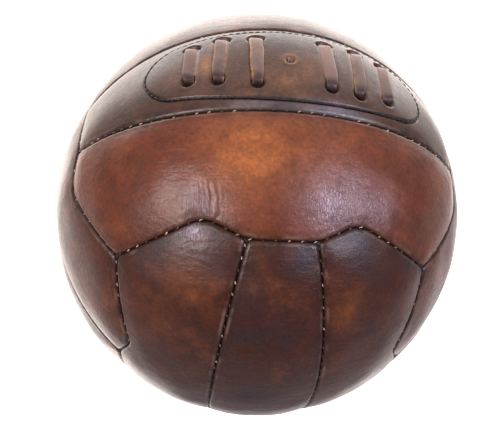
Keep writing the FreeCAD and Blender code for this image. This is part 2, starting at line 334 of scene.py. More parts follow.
def edge_seam(face: Face, end: int) -> Seam:
    """The zigzag seam at one end of a face: over both peaks and the flat between them.

    Args:
        face: the face that the strips are on.
        end: 1 for the high end of its strips, -1 for the low end.

    Returns:
        The seam, from the low side to the high one, with the distances to its four corners.
    """
    slopes = [
        (1, 1, -1),
        (1, CUT.peak_end, -CUT.peak_across),
        (1, CUT.strip_end, -CUT.strip_half_width),
    ]
    slopes += [(n, along, -across) for n, along, across in reversed(slopes)]
    cube_a, peak_a, mid_a, mid_b, peak_b, cube_b = (
        face.towards((n, end * along, across)) for n, along, across in slopes
    )
    stretches = []
    for start, peak, stop in ((cube_a, peak_a, mid_a), (mid_b, peak_b, cube_b)):
        before = short_of(peak, start, CUT.corner_round)
        after = short_of(peak, stop, CUT.corner_round)
        stretches.append([arc(start, before), turn(before, peak, after), arc(after, stop)])
    flat = arc(mid_a, mid_b)
    points = np.concatenate(stretches[0] + [flat] + stretches[1])
    chain = Chain.through(points)
    peak_at = Chain.through(stretches[0][0]).length
    peak_at += Chain.through(stretches[0][1]).length / 2
    mid_at = (chain.length - Chain.through(flat).length) / 2
    neighbour = next(
        f.name for f in FACES.values() if np.allclose(f.normal, np.array(face.along) * end)
    )
    marks = (peak_at, mid_at, chain.length - mid_at, chain.length - peak_at)
    return Seam(chain, f"{face.name}_{neighbour}_seam_thread", marks)


@dataclass(frozen=True)
class Section:
    """A stretch of a seam that bounds a panel."""

    seam: Seam
    start: float
    end: float

    @property
    def chain(self) -> Chain:
        """The stretch's own chain."""
        return self.seam.chain.part(self.start, self.end)


@dataclass(frozen=True)
class Side:
    """One of a panel's four sides: sections that follow each other, from low to high."""

    sections: tuple[Section, ...]

    def at(self, shares: Array) -> Array:
        """The directions at these shares of the side's length."""
        first, last = self.sections[0], self.sections[-1]
        return first.seam.chain.at(first.start + shares * (last.end - first.start))


@dataclass(frozen=True)
class Outline:
    """The seams round a panel, and how far any place on the panel is from them."""

    low: Side
    high: Side
    left: Side
    right: Side
    softness: float = 0.8 * MM

    def grid(self, columns: int, rows: int, crowding: float) -> Array:
        """Directions all over the panel, blended from its four sides.

        With u along and v across, the blend is the low and high sides joined by straight
        lines, plus the left and right sides joined by straight lines, minus the four corners
        joined by straight lines. Each is brought back to length one.

        Args:
            columns: how many values of u.
            rows: how many values of v.
            crowding: how much finer the grid is at its edges.

        Returns:
            An array of columns by rows by 3.
        """
        u, v = eased(columns, crowding), eased(rows, crowding)
        low, high = self.low.at(u)[:, None], self.high.at(u)[:, None]
        left, right = self.left.at(v)[None], self.right.at(v)[None]
        u, v = u[:, None, None], v[None, :, None]
        across = (1 - v) * low + v * high
        along = (1 - u) * left + u * right
        corners = (1 - v) * ((1 - u) * low[:1] + u * low[-1:])
        corners = corners + v * ((1 - u) * high[:1] + u * high[-1:])
        return unit(across + along - corners)

    def measure(self, directions: Array) -> tuple[Array, Array]:
        """How far each direction is from the seams, and where along the stitching.

        The distance to a section is the least distance to its straight pieces. Sections that
        meet in an outward corner are joined by a soft least value, minus the softness times
        the logarithm of the sum of e to the power of minus distance over softness, which
        rounds the corner.

        Args:
            directions: n directions.

        Returns:
            n distances in metres, and n places counted in stitches.
        """
        points = directions * BALL_RADIUS
        distances, places = [], []
        sides = (self.low, self.high, self.left, self.right)
        for section in (s for side in sides for s in side.sections):
            chain = section.chain
            start = chain.points[:-1] * BALL_RADIUS
            run = np.diff(chain.points, axis=0) * BALL_RADIUS
            run_square = (run**2).sum(axis=1)
            along = points @ run.T - (start * run).sum(axis=1)
            share = np.clip(along / run_square, 0.0, 1.0)
            apart = (points**2).sum(axis=1)[:, None] - 2.0 * points @ start.T
            apart += (start**2).sum(axis=1) - 2.0 * share * along + share**2 * run_square
            nearest = apart.argmin(axis=1)
            rows = np.arange(len(points))
            distances.append(np.sqrt(np.maximum(apart[rows, nearest], 0.0)))
            place = chain.lengths[nearest] + share[rows, nearest] * np.sqrt(run_square)[nearest]
            places.append(place / section.seam.chain.length * section.seam.stitches)
        table = np.stack(distances, axis=1)
        soft = -self.softness * np.log(np.exp(-table / self.softness).sum(axis=1))
        place = np.stack(places, axis=1)[np.arange(len(points)), table.argmin(axis=1)]
        return np.maximum(soft, 0.0), place


class Strip(Enum):
    """Which of a face's three strips a panel is, by its side of the face."""

    LOW = -1
    MIDDLE = 0
    HIGH = 1


class Layout:
    """All the seams of the ball, and the outline of each panel between them."""

    def __init__(self) -> None:
        """Works out the twelve bowed seams and the twelve zigzag seams."""
        self.bowed = {(n, s): bowed_seam(f, s) for n, f in FACES.items() for s in (-1, 1)}
        self.edges = {(n, e): edge_seam(f, e) for n, f in FACES.items() for e in (-1, 1)}

    def seams(self) -> list[Seam]:
        """Every seam of the ball."""
        return [*self.bowed.values(), *self.edges.values()]

    def outline(self, face: Face, strip: Strip) -> Outline:
        """The seams round one panel.

        Args:
            face: the face that it is on.
            strip: which of the face's strips it is.

        Returns:
            Its outline.
        """
        if strip is Strip.MIDDLE:
            return self._middle(face)
        return self._outer(face, strip.value)

    def _middle(self, face: Face) -> Outline:
        """A middle strip, between two bowed seams and the flats of two zigzag seams.

        Args:
            face: the face that it is on.

        Returns:
            Its outline.
        """
        ends = []
        for end in (-1, 1):
            seam = self.edges[face.name, end]
            ends.append(Side((Section(seam, seam.corners[1], seam.corners[2]),)))
        low, high = (self._whole(self.bowed[face.name, side]) for side in (-1, 1))
        return Outline(low, high, *ends)

    def _outer(self, face: Face, side: int) -> Outline:
        """An outer strip, between a bowed seam, two peaked ends and a notched long side.

        Args:
            face: the face that it is on.
            side: 1 for the strip on the face's high side, -1 for the one on its low side.

        Returns:
            Its outline.
        """
        ends = []
        for end in (-1, 1):
            seam = self.edges[face.name, end]
            peak_a, mid_a, mid_b, peak_b = seam.corners
            stretches = ((mid_b, peak_b), (peak_b, seam.chain.length))
            if side < 0:
                seam = Seam(Chain.through(seam.chain.points[::-1]), seam.node, seam.corners)
            ends.append(Side(tuple(Section(seam, a, b) for a, b in stretches)))
        across = np.array(face.across) * side
        neighbour = next(f for f in FACES.values() if np.allclose(f.normal, across))
        notch_end = round(float(np.dot(face.normal, neighbour.along)))
        notched = self.edges[neighbour.name, notch_end]
        _, mid_a, mid_b, _ = notched.corners
        stops = (0.0, mid_a, mid_b, notched.chain.length)
        far = Side(tuple(Section(notched, a, b) for a, b in zip(stops, stops[1:])))
        return Outline(self._whole(self.bowed[face.name, side]), far, *ends)

    @staticmethod
    def _whole(seam: Seam) -> Side:
        """A side that is one whole seam."""
        return Side((Section(seam, 0.0, seam.chain.length),))


# ---------------------------------------------------------------- meshes


def grid_faces(columns: int, rows: int, offset: int = 0, closed: bool = False) -> Array:
    """The quads of a grid of points, numbered column by column.

    Args:
        columns: points along u.
        rows: points along v.
        offset: the number of the first point.
        closed: whether the last row is joined to the first.

    Returns:
        An array of four point numbers for each quad.
    """
    steps = rows if closed else rows - 1
    i, j = np.meshgrid(np.arange(columns - 1), np.arange(steps), indexing="ij")
    after = (j + 1) % rows
    corners = (i * rows + j, (i + 1) * rows + j, (i + 1) * rows + after, i * rows + after)
    return np.stack(corners, axis=-1).reshape(-1, 4) + offset


def loop_of(columns: int, rows: int) -> Array:
    """The point numbers round the edge of a grid, in order."""
    number = np.arange(columns * rows).reshape(columns, rows)
    return np.concatenate([number[:-1, 0], number[-1, :-1], number[:0:-1, -1], number[0, :0:-1]])


def quad_mesh(name: str, points: Array, quads: Array) -> bpy.types.Mesh:
    """A mesh whose faces all have four corners.

    Args:
        name: the mesh's name.
        points: n points in metres.
        quads: four point numbers for each face.

    Returns:
        The mesh.
    """
    mesh = bpy.data.meshes.new(name)
    mesh.vertices.add(len(points))
    mesh.vertices.foreach_set("co", np.ascontiguousarray(points, np.float32).ravel())
    mesh.loops.add(quads.size)
    mesh.loops.foreach_set("vertex_index", np.ascontiguousarray(quads, np.int32).ravel())
    mesh.polygons.add(len(quads))
    mesh.polygons.foreach_set("loop_start", np.arange(0, quads.size, 4, dtype=np.int32))
    mesh.update(calc_edges=True)
    mesh.validate()
    return mesh


def mixed_mesh(name: str, points: Array, faces: list[list[int]]) -> bpy.types.Mesh:
    """A mesh whose faces have three or four corners.

    Args:
        name: the mesh's name.
        points: n points in metres.
        faces: the point numbers of each face.

    Returns:
        The mesh.
    """
    mesh = bpy.data.meshes.new(name)
    mesh.from_pydata(points.tolist(), [], faces)
    return mesh


def set_out(
    mesh: bpy.types.Mesh,
    marks: dict[str, Array],
    node: str,
    slot: str,
    material: bpy.types.Material,
) -> None:
    """Makes a mesh a finished, smooth piece that rides on the ball and stands for a CAD node.

    Args:
        mesh: the piece's mesh, whose name the piece takes.
        marks: a number for each point that the piece's material reads, by name.
        node: the CAD node that the piece stands for.
        slot: the record's material slot; not used.
        material: the piece's finish.
    """
    mesh.polygons.foreach_set("use_smooth", np.ones(len(mesh.polygons), bool))
    for label, values in marks.items():
        mark = mesh.attributes.new(label, "FLOAT", "POINT")
        mark.data.foreach_set("value", np.ascontiguousarray(values, np.float32))
    mesh.materials.append(material)
    piece = bpy.data.objects.new(mesh.name, mesh)
    bpy.context.scene.collection.objects.link(piece)
    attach(piece, BODY)
    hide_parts(node)
    LOG.info("%s: %d points, %d faces", piece.name, len(mesh.vertices), len(mesh.polygons))


# ---------------------------------------------------------------- leather panels


class Wear(Enum):
    """The marks of use, some with painted sheen, that a hide can carry, each read by the leather's
    material.
    """

    BURNISH = "burnish"
    # Polished spots are less rough, and also get a lilac painted sheen in their colour.
    POLISH = "polish"
    STAIN = "stain"
    # Fade: pale wear, and partly a painted sheen on the pleats and by the lacing panel's front
    # seam.
    FADE = "fade"


def apart_from(panel: str, slopes: tuple[float, float], directions: Array) -> tuple[Array, ...]:
    """How far directions are from a place on a panel, in metres on the ball.

    Args:
        panel: the panel's CAD node.
        slopes: the place, along and across the panel's face.
        directions: n directions.

    Returns:
        n distances along the face, n across it and n outwards.
    """
    face = FACES[panel.split("_")[0]]
    apart = (directions - face.towards((1.0, *slopes))) * BALL_RADIUS
    ways = (face.along, face.across, face.normal)
    return tuple(apart @ np.array(way, float) for way in ways)


@dataclass(frozen=True)
class Patina:
    """One soft-edged mark of use, some also with painted sheen: where it lies on the ball and how
    far it reaches.
    """

    wear: Wear
    panel: str
    slopes: tuple[float, float]
    reach: float
    strength: float
    stretch: float = 1.0

    def at(self, directions: Array) -> Array:
        """Its strength at each direction.

        It is the strength times a soft spot of the distance, in which the distance along the
        face is divided by the stretch.

        Args:
            directions: n directions.

        Returns:
            n strengths.
        """
        along, across, rising = apart_from(self.panel, self.slopes, directions)
        distance = np.sqrt((along / self.stretch) ** 2 + across**2 + rising**2)
        return self.strength * bell(distance, self.reach)


@dataclass(frozen=True)
class Pleats:
    """Fine folds where the leather is pulled tight over a peak."""

    panel: str
    slopes: tuple[float, float]
    reach: float
    width: float
    height: float
    lean: float = 0.0
    bend: float = 0.22
    valley: float = 0.4

    def at(self, directions: Array) -> Array:
        """The folds' height: a wave across them, bent by a ripple, fading out with distance.

        With the wave w from -1 to 1, a fold is w less the valley times the size of w, which
        leaves the crests low and the valleys deep.

        Args:
            directions: n directions.

        Returns:
            n heights in metres.
        """
        along, across, _ = apart_from(self.panel, self.slopes, directions)
        bend = Ripple(41, 14 * MM, 4 * MM).at(directions * BALL_RADIUS) * self.bend
        wave = np.sin(2.0 * math.pi * ((along + self.lean * across) / self.width + bend))
        fade = bell(np.sqrt(along**2 + 0.8 * across**2), self.reach)
        return self.height * fade * (wave - self.valley * np.abs(wave))


@dataclass(frozen=True)
class Tone:
    """The shade of one hide: how dark it is, and how red."""

    dark: float
    warm: float


@dataclass(frozen=True)
class Hide:
    """The thickness and stretch of the leather, the same for every panel.

    The ripple_level is the height of the ripple that leaves the skin where it is. Few places
    are above it, so the unevenness sinks nearly all of the skin a little.
    """

    crown: float = BALL_RADIUS - 0.05 * MM
    swell: float = 0.9 * MM
    swell_reach: float = 7.0 * MM
    dip: float = 0.65 * MM
    dip_reach: float = 2.3 * MM
    lip: float = 0.12 * MM
    lip_place: float = 1.5 * MM
    roll_depth: float = 0.9 * MM
    roll_width: float = 1.1 * MM
    pucker: float = 0.22 * MM
    pucker_reach: float = 1.3 * MM
    unevenness: float = 0.10 * MM
    ripple_waves: tuple[float, float] = (60 * MM, 14 * MM)
    ripple_level: float = 1.6
    even_edge: float = 6.0 * MM
    relief_edge: tuple[float, float] = (0.2 * MM, 2.5 * MM)
    thickness: float = 2.1 * MM
    flange: float = 6.1 * MM
    flange_width: float = 2.3 * MM
    gap: float = 0.12 * MM

    def skin(self, distance: Array, place: Array, ripple: Array) -> Array:
        """The radius of the outside of a panel.

        The crown, less a wide and a narrow swell that die away from the seam, plus a faint
        lip beside it, less the circle 1 - sqrt(1 - (1 - d / width)^2) by which the leather
        rolls into the seam, less a pucker at each stitch, plus the hide's own unevenness.

        Args:
            distance: how far each point is from the seam.
            place: where it is along the seam, counted in stitches.
            ripple: the unevenness there, of about one.

        Returns:
            The radius at each point.
        """
        swell = self.swell * np.exp(-distance / self.swell_reach)
        swell += self.dip * np.exp(-distance / self.dip_reach)
        swell -= self.lip * bell(distance - self.lip_place, self.lip_place / 2.0)
        inwards = 1.0 - np.clip(distance / self.roll_width, 0.0, 1.0)
        roll = self.roll_depth * (1.0 - np.sqrt(np.maximum(1.0 - inwards**2, 0.0)))
        pull = 0.5 + 0.5 * np.cos(2.0 * math.pi * (place - 0.5))
        pucker = self.pucker * pull * np.exp(-distance / self.pucker_reach)
        uneven = self.unevenness * smooth_step(distance, 0.0, self.even_edge)
        return self.crown - swell - roll - pucker + uneven * (ripple - self.ripple_level)

    def flesh(self, distance: Array) -> Array:
        """The radius of the inside: even over the lining, and deeper in the turned edge."""
        flange_tip = self.crown - self.flange
        return np.where(distance < self.flange_width, flange_tip, self.crown - self.thickness)


@dataclass
class LeatherPanel:
    """One leather panel: a swelling skin, rolled edges and the edge turned in for sewing."""

    face: Face
    strip: Strip
    outline: Outline
    tone: Tone
    hide: Hide = field(default_factory=Hide)
    columns: int = 236
    rows: int = 62
    crowding: float = 0.78
    slot: str = "panel_leather"

    @property
    def node(self) -> str:
        """The name of the panel's CAD node."""
        return f"{self.face.name}_{self.face.strips[self.strip.value + 1]}_panel"

    def relief(self, directions: Array) -> Array:
        """Anything raised or sunk on this panel, apart from its own shape.

        Args:
            directions: n directions.

        Returns:
            n heights in metres.
        """
        height = np.zeros(len(directions))
        for pleats in PLEATS:
            if pleats.panel == self.node:
                height += pleats.at(directions)
        return height

    def marks(self, directions: Array, distance: Array) -> dict[str, Array]:
        """The numbers that the leather's material reads at each point of the panel.

        Args:
            directions: n directions.
            distance: how far each of them is from the seam.

        Returns:
            n numbers for each name.
        """
        values = {wear.value: np.zeros(len(directions)) for wear in Wear}
        for mark in PATINA:
            if mark.panel == self.node:
                values[mark.wear.value] += mark.at(directions)
        values["seam"] = distance / MM
        values["dark"] = np.full(len(directions), self.tone.dark)
        values["warm"] = np.full(len(directions), self.tone.warm)
        return values

    def build(self, material: bpy.types.Material) -> None:
        """Makes the panel as one closed shell and dresses it.

        The outside and the inside are two radii over the same grid of directions. A wall
        joins their edges, drawn in from the seam by half the gap.

        Args:
            material: the panel's finish.
        """
        grid = self._drawn_in(self.outline.grid(self.columns, self.rows, self.crowding))
        directions = grid.reshape(-1, 3)
        distance, place = self.outline.measure(directions)
        edge = loop_of(self.columns, self.rows)
        distance[edge] = 0.0
        seed = sum(ord(letter) * (k + 1) for k, letter in enumerate(self.node))
        ripple = Ripple(seed, *self.hide.ripple_waves).at(directions * BALL_RADIUS)
        skin = self.hide.skin(distance, place, ripple)
        skin += self.relief(directions) * smooth_step(distance, *self.hide.relief_edge)
        flesh = self.hide.flesh(distance)
        points = np.concatenate([directions * skin[:, None], directions * flesh[:, None]])
        count = len(directions)
        top = grid_faces(self.columns, self.rows)
        bottom = top[:, ::-1] + count
        following = np.roll(edge, -1)
        wall = np.stack([edge, edge + count, following + count, following], axis=1)
        quads = np.concatenate([top, bottom, wall])
        if self._faces_inwards(grid):
            quads = quads[:, ::-1]
        marks = {k: np.tile(v, 2) for k, v in self.marks(directions, distance).items()}
        mesh = quad_mesh(f"{self.node}_leather", points, quads)
        set_out(mesh, marks, self.node, self.slot, material)

    def _drawn_in(self, grid: Array) -> Array:
        """The grid with its edge points moved in from the seam by half the gap.

        Args:
            grid: columns by rows of directions.

        Returns:
            A grid of the same size.
        """
        grid = grid.copy()
        half = self.hide.gap / 2.0 / BALL_RADIUS
        for edge, beside in ((grid[0], grid[1]), (grid[-1], grid[-2])):
            edge += unit(beside - edge) * half
        for edge, beside in ((grid[:, 0], grid[:, 1]), (grid[:, -1], grid[:, -2])):
            edge += unit(beside - edge) * half
        return unit(grid)

    @staticmethod
    def _faces_inwards(grid: Array) -> bool:
        """Whether the grid's quads turn so that they would face the ball's centre.

        Args:
            grid: columns by rows of directions.

        Returns:
            True if they do.
        """
        column, row = grid.shape[0] // 2, grid.shape[1] // 2
        middle = grid[column, row]
        along, across = grid[column + 1, row] - middle, grid[column, row + 1] - middle
        return float(np.cross(along, across) @ middle) < 0.0


# ---------------------------------------------------------------- the lacing


@dataclass(frozen=True)
class Bar:
    """A bar of lace over the panel, from its slot to its round hole, both in plan.

    Its left and right edges are rubbed so much, and its face is so pale.
    """

    slot: tuple[float, float]
    hole: tuple[float, float]
    rubbed: tuple[float, float] = (0.3, 0.3)
    pale: float = 0.0

    @property
    def run(self) -> Array:
        """The way in plan from the hole to the slot, at its full length."""
        return np.array(self.slot) - np.array(self.hole)

    def beyond(self, plan: Array, place: Array) -> tuple[Array, Array]:
        """How far places in plan are beyond a place on the bar, and how far beside it.

        Args:
            plan: n places, x and y.
            place: the place on the bar, x and y.

        Returns:
            n distances the way the bar runs to its slot, and n across it.
        """
        way = unit(self.run)
        apart = plan - place
        return apart @ way, apart @ np.array([way[1], -way[0]])


# Both laces' bars, from the left end of the panel to the right one.
LEFT_BARS = (
    Bar((-36.0 * MM, 10.8 * MM), (-36.4 * MM, -8.6 * MM), (0.2, 1.0), 0.3),
    Bar((-24.2 * MM, 13.6 * MM), (-25.2 * MM, -10.4 * MM), (0.3, 1.0), 0.1),
    Bar((-10.8 * MM, 13.2 * MM), (-10.6 * MM, -12.8 * MM), (1.0, 0.4), 0.3),
)
RIGHT_BARS = (
    Bar((16.8 * MM, 13.0 * MM), (17.6 * MM, -12.2 * MM), (0.1, 0.2), 1.0),
    Bar((30.6 * MM, 13.4 * MM), (29.2 * MM, -12.0 * MM), (0.8, 0.2), 0.2),
    Bar((42.8 * MM, 11.6 * MM), (42.0 * MM, -9.4 * MM), (0.6, 0.2), 0.4),
)


@dataclass(frozen=True)
class Oval:
    """The patch's line of stitching in plan: two long arcs and two tight end arcs."""

    centre: float = 3.2 * MM
    half_length: float = 57.6 * MM
    half_width: float = 20.0 * MM
    side_radius: float = 220.0 * MM
    arc_steps: int = 60

    @property
    def drop(self) -> float:
        """How far behind the middle of the oval the centre of a side arc is."""
        return self.side_radius - self.half_width

    @property
    def end_radius(self) -> float:
        """The radius of the end arcs, which touch the side arcs from inside."""
        spare = self.side_radius**2 - self.drop**2 - self.half_length**2
        return spare / (2.0 * (self.side_radius - self.half_length))

    @property
    def end_centre(self) -> float:
        """How far out along the oval the centre of an end arc is."""
        return self.half_length - self.end_radius

    def distance(self, plan: Array) -> Array:
        """How far places in plan are outside the line, less than nought inside it.

        Beside the long arcs it is the distance from their centre less their radius, and at
        the ends the distance from the end arc's centre less the end radius.

        Args:
            plan: n places, x and y.

        Returns:
            n distances.
        """
        x = np.abs(plan[:, 0] - self.centre)
        y = np.abs(plan[:, 1])
        at_side = np.hypot(x, y + self.drop) - self.side_radius
        at_end = np.hypot(x - self.end_centre, y) - self.end_radius
        beyond = x * self.drop > self.end_centre * (y + self.drop)
        return np.where(beyond, at_end, at_side)

    def line(self, count: int) -> Array:
        """Places along the line, evenly spaced.

        At the angle a, an arc's point is its centre plus its radius times (sin a, cos a).

        Args:
            count: how many places.

        Returns:
            An array of count by x and y.
        """
        lean = math.atan2(self.end_centre, self.drop)
        side = np.linspace(-lean, lean, self.arc_steps)
        end = np.linspace(lean, math.pi - lean, self.arc_steps)
        top = np.stack([np.sin(side), np.cos(side)], axis=1) * self.side_radius
        top = top - (0.0, self.drop)
        cap = np.stack([np.sin(end), np.cos(end)], axis=1) * self.end_radius
        cap = cap + (self.end_centre, 0.0)
        half = np.concatenate([top, cap])
        whole = np.concatenate([half, -half, half[:1]])
        steps = np.linalg.norm(np.diff(whole, axis=0), axis=1)
        lengths = np.concatenate([[0.0], np.cumsum(steps)])
        stops = np.linspace(0.0, lengths[-1], count, endpoint=False)
        columns = [np.interp(stops, lengths, whole[:, k]) for k in range(2)]
        return np.stack(columns, axis=1) + (self.centre, 0.0)


@dataclass
class LacingPanel(LeatherPanel):
    """The top middle panel: punched for the laces and the needle, with the patch under it."""

    oval: Oval = field(default_factory=Oval)
    valve: tuple[float, float] = (2.0 * MM, -0.8 * MM)
    columns: int = 470
    rows: int = 100
    crowding: float = 0.45
    slot: str = "lacing_panel_leather"
    groove_depth: float = 0.5 * MM
    groove_width: float = 0.42 * MM
    patch_lift: float = 0.5 * MM
    hole_radius: float = 2.5 * MM
    hole_depth: float = 2.15 * MM
    hole_lip: float = 0.12 * MM
    slit_half_width: float = 3.6 * MM
    slit_depth: float = 2.15 * MM
    slit_bow: float = 1.7 * MM
    slit_lip: float = 0.30 * MM
    bed_depth: float = 0.35 * MM
    bed_bank: float = 0.03 * MM
    valve_radius: float = 1.7 * MM
    valve_depth: float = 2.4 * MM
    valve_lip: float = 0.18 * MM

    def relief(self, directions: Array) -> Array:
        """The patch's raised oval and its groove, and the pits of the slits and holes.

        Args:
            directions: n directions.

        Returns:
            n heights in metres.
        """
        plan = directions[:, :2] * BALL_RADIUS
        outside = self.oval.distance(plan)
        height = self.patch_lift * (1.0 - smooth_step(outside, -1.0 * MM, 0.3 * MM))
        height -= self.groove_depth * bell(outside, self.groove_width)
        for bar in LEFT_BARS + RIGHT_BARS:
            height += self._hole(plan, bar) + self._slit(plan, bar)[0] + self._bed(plan, bar)
        height += self._needle_hole(plan)
        return height

    def _hole(self, plan: Array, bar: Bar) -> Array:
        """A round pit with a soft lip, where a bar of lace goes down.

        Args:
            plan: n places, x and y.
            bar: the bar.

        Returns:
            n heights in metres.
        """
        distance = np.hypot(*(plan - bar.hole).T)
        pit = 1.0 - smooth_step(distance, 0.72 * self.hole_radius, 1.12 * self.hole_radius)
        lip = self.hole_lip * bell(distance - 1.45 * self.hole_radius, 0.9 * MM)
        return lip - self.hole_depth * pit

    def _slit(self, plan: Array, bar: Bar) -> tuple[Array, Array]:
        """A crescent slit at a bar's other end, cut along a parabola.

        Args:
            plan: n places, x and y.
            bar: the bar.

        Returns:
            n heights in metres, and n numbers from 0 to 1 that say where it is open.
        """
        beyond, beside = bar.beyond(plan, np.array(bar.slot))
        crest = 1.5 * MM - (beside / self.slit_half_width) ** 2 * self.slit_bow
        end = 0.85 * self.slit_half_width
        inside = 1.0 - smooth_step(np.abs(beside), end, self.slit_half_width)
        cut = bell(beyond - crest + 0.45 * MM, 0.75 * MM)
        lip = self.slit_lip * bell(beyond - crest - 1.1 * MM, 0.9 * MM)
        return inside * (lip - self.slit_depth * cut), inside * cut

    def _bed(self, plan: Array, bar: Bar) -> Array:
        """The shallow bed that a tight bar presses into the leather, and its raised banks.

        Args:
            plan: n places, x and y.
            bar: the bar.

        Returns:
            n heights in metres.
        """
        beyond, beside = bar.beyond(plan, (np.array(bar.slot) + np.array(bar.hole)) / 2.0)
        half = float(np.linalg.norm(bar.run)) / 2
        within = 1.0 - smooth_step(np.abs(beyond), half - 1 * MM, half + 2 * MM)
        bed = -self.bed_depth * (1.0 - smooth_step(np.abs(beside), 1.9 * MM, 3.0 * MM))
        return within * (bed + self.bed_bank * bell(np.abs(beside) - 4.3 * MM, 1.1 * MM))

    def _needle_hole(self, plan: Array) -> Array:
        """The pit for the inflating needle, with a faint lip.

        Args:
            plan: n places, x and y.

        Returns:
            n heights in metres.
        """
        distance = np.hypot(*(plan - self.valve).T)
        pit = 1.0 - smooth_step(distance, 0.55 * self.valve_radius, 1.1 * self.valve_radius)
        return self.valve_lip * bell(distance - 2.6 * MM, 0.9 * MM) - self.valve_depth * pit

    def marks(self, directions: Array, distance: Array) -> dict[str, Array]:
        """As on any panel, with raw leather bare round the needle's hole, and painted shade in the
        pits.

        Args:
            directions: n directions.
            distance: how far each of them is from the seam.

        Returns:
            n numbers for each name.
        """
        values = super().marks(directions, distance)
        plan = directions[:, :2] * BALL_RADIUS
        from_valve = np.hypot(*(plan - self.valve).T)
        raw = 0.6 * bell(from_valve - 2.0 * MM, 0.6 * MM)
        # Painted shade: dark in the needle's hole, the lace holes, the slits and the stitched
        # groove.
        pit = bell(from_valve, 1.5 * MM)
        for bar in LEFT_BARS + RIGHT_BARS:
            pit += bell(np.hypot(*(plan - bar.hole).T), self.hole_radius)
            pit += self._slit(plan, bar)[1]
        pit += bell(self.oval.distance(plan), 0.7 * MM)
        values["raw"] = np.clip(raw, 0.0, 1.0)
        values["pit"] = np.clip(pit, 0.0, 1.0)
        return values


def on_ball(plan: Array, lift: Array) -> Array:
    """Points above places in plan, on the ball's top, raised or lowered along the radius.

    Args:
        plan: n places, x and y.
        lift: how far each is above the ball's surface.

    Returns:
        n points in metres.
    """
    height = np.sqrt(BALL_RADIUS**2 - (plan**2).sum(axis=-1))
    direction = np.concatenate([plan, height[..., None]], axis=-1) / BALL_RADIUS
    return direction * (BALL_RADIUS + lift)[..., None]


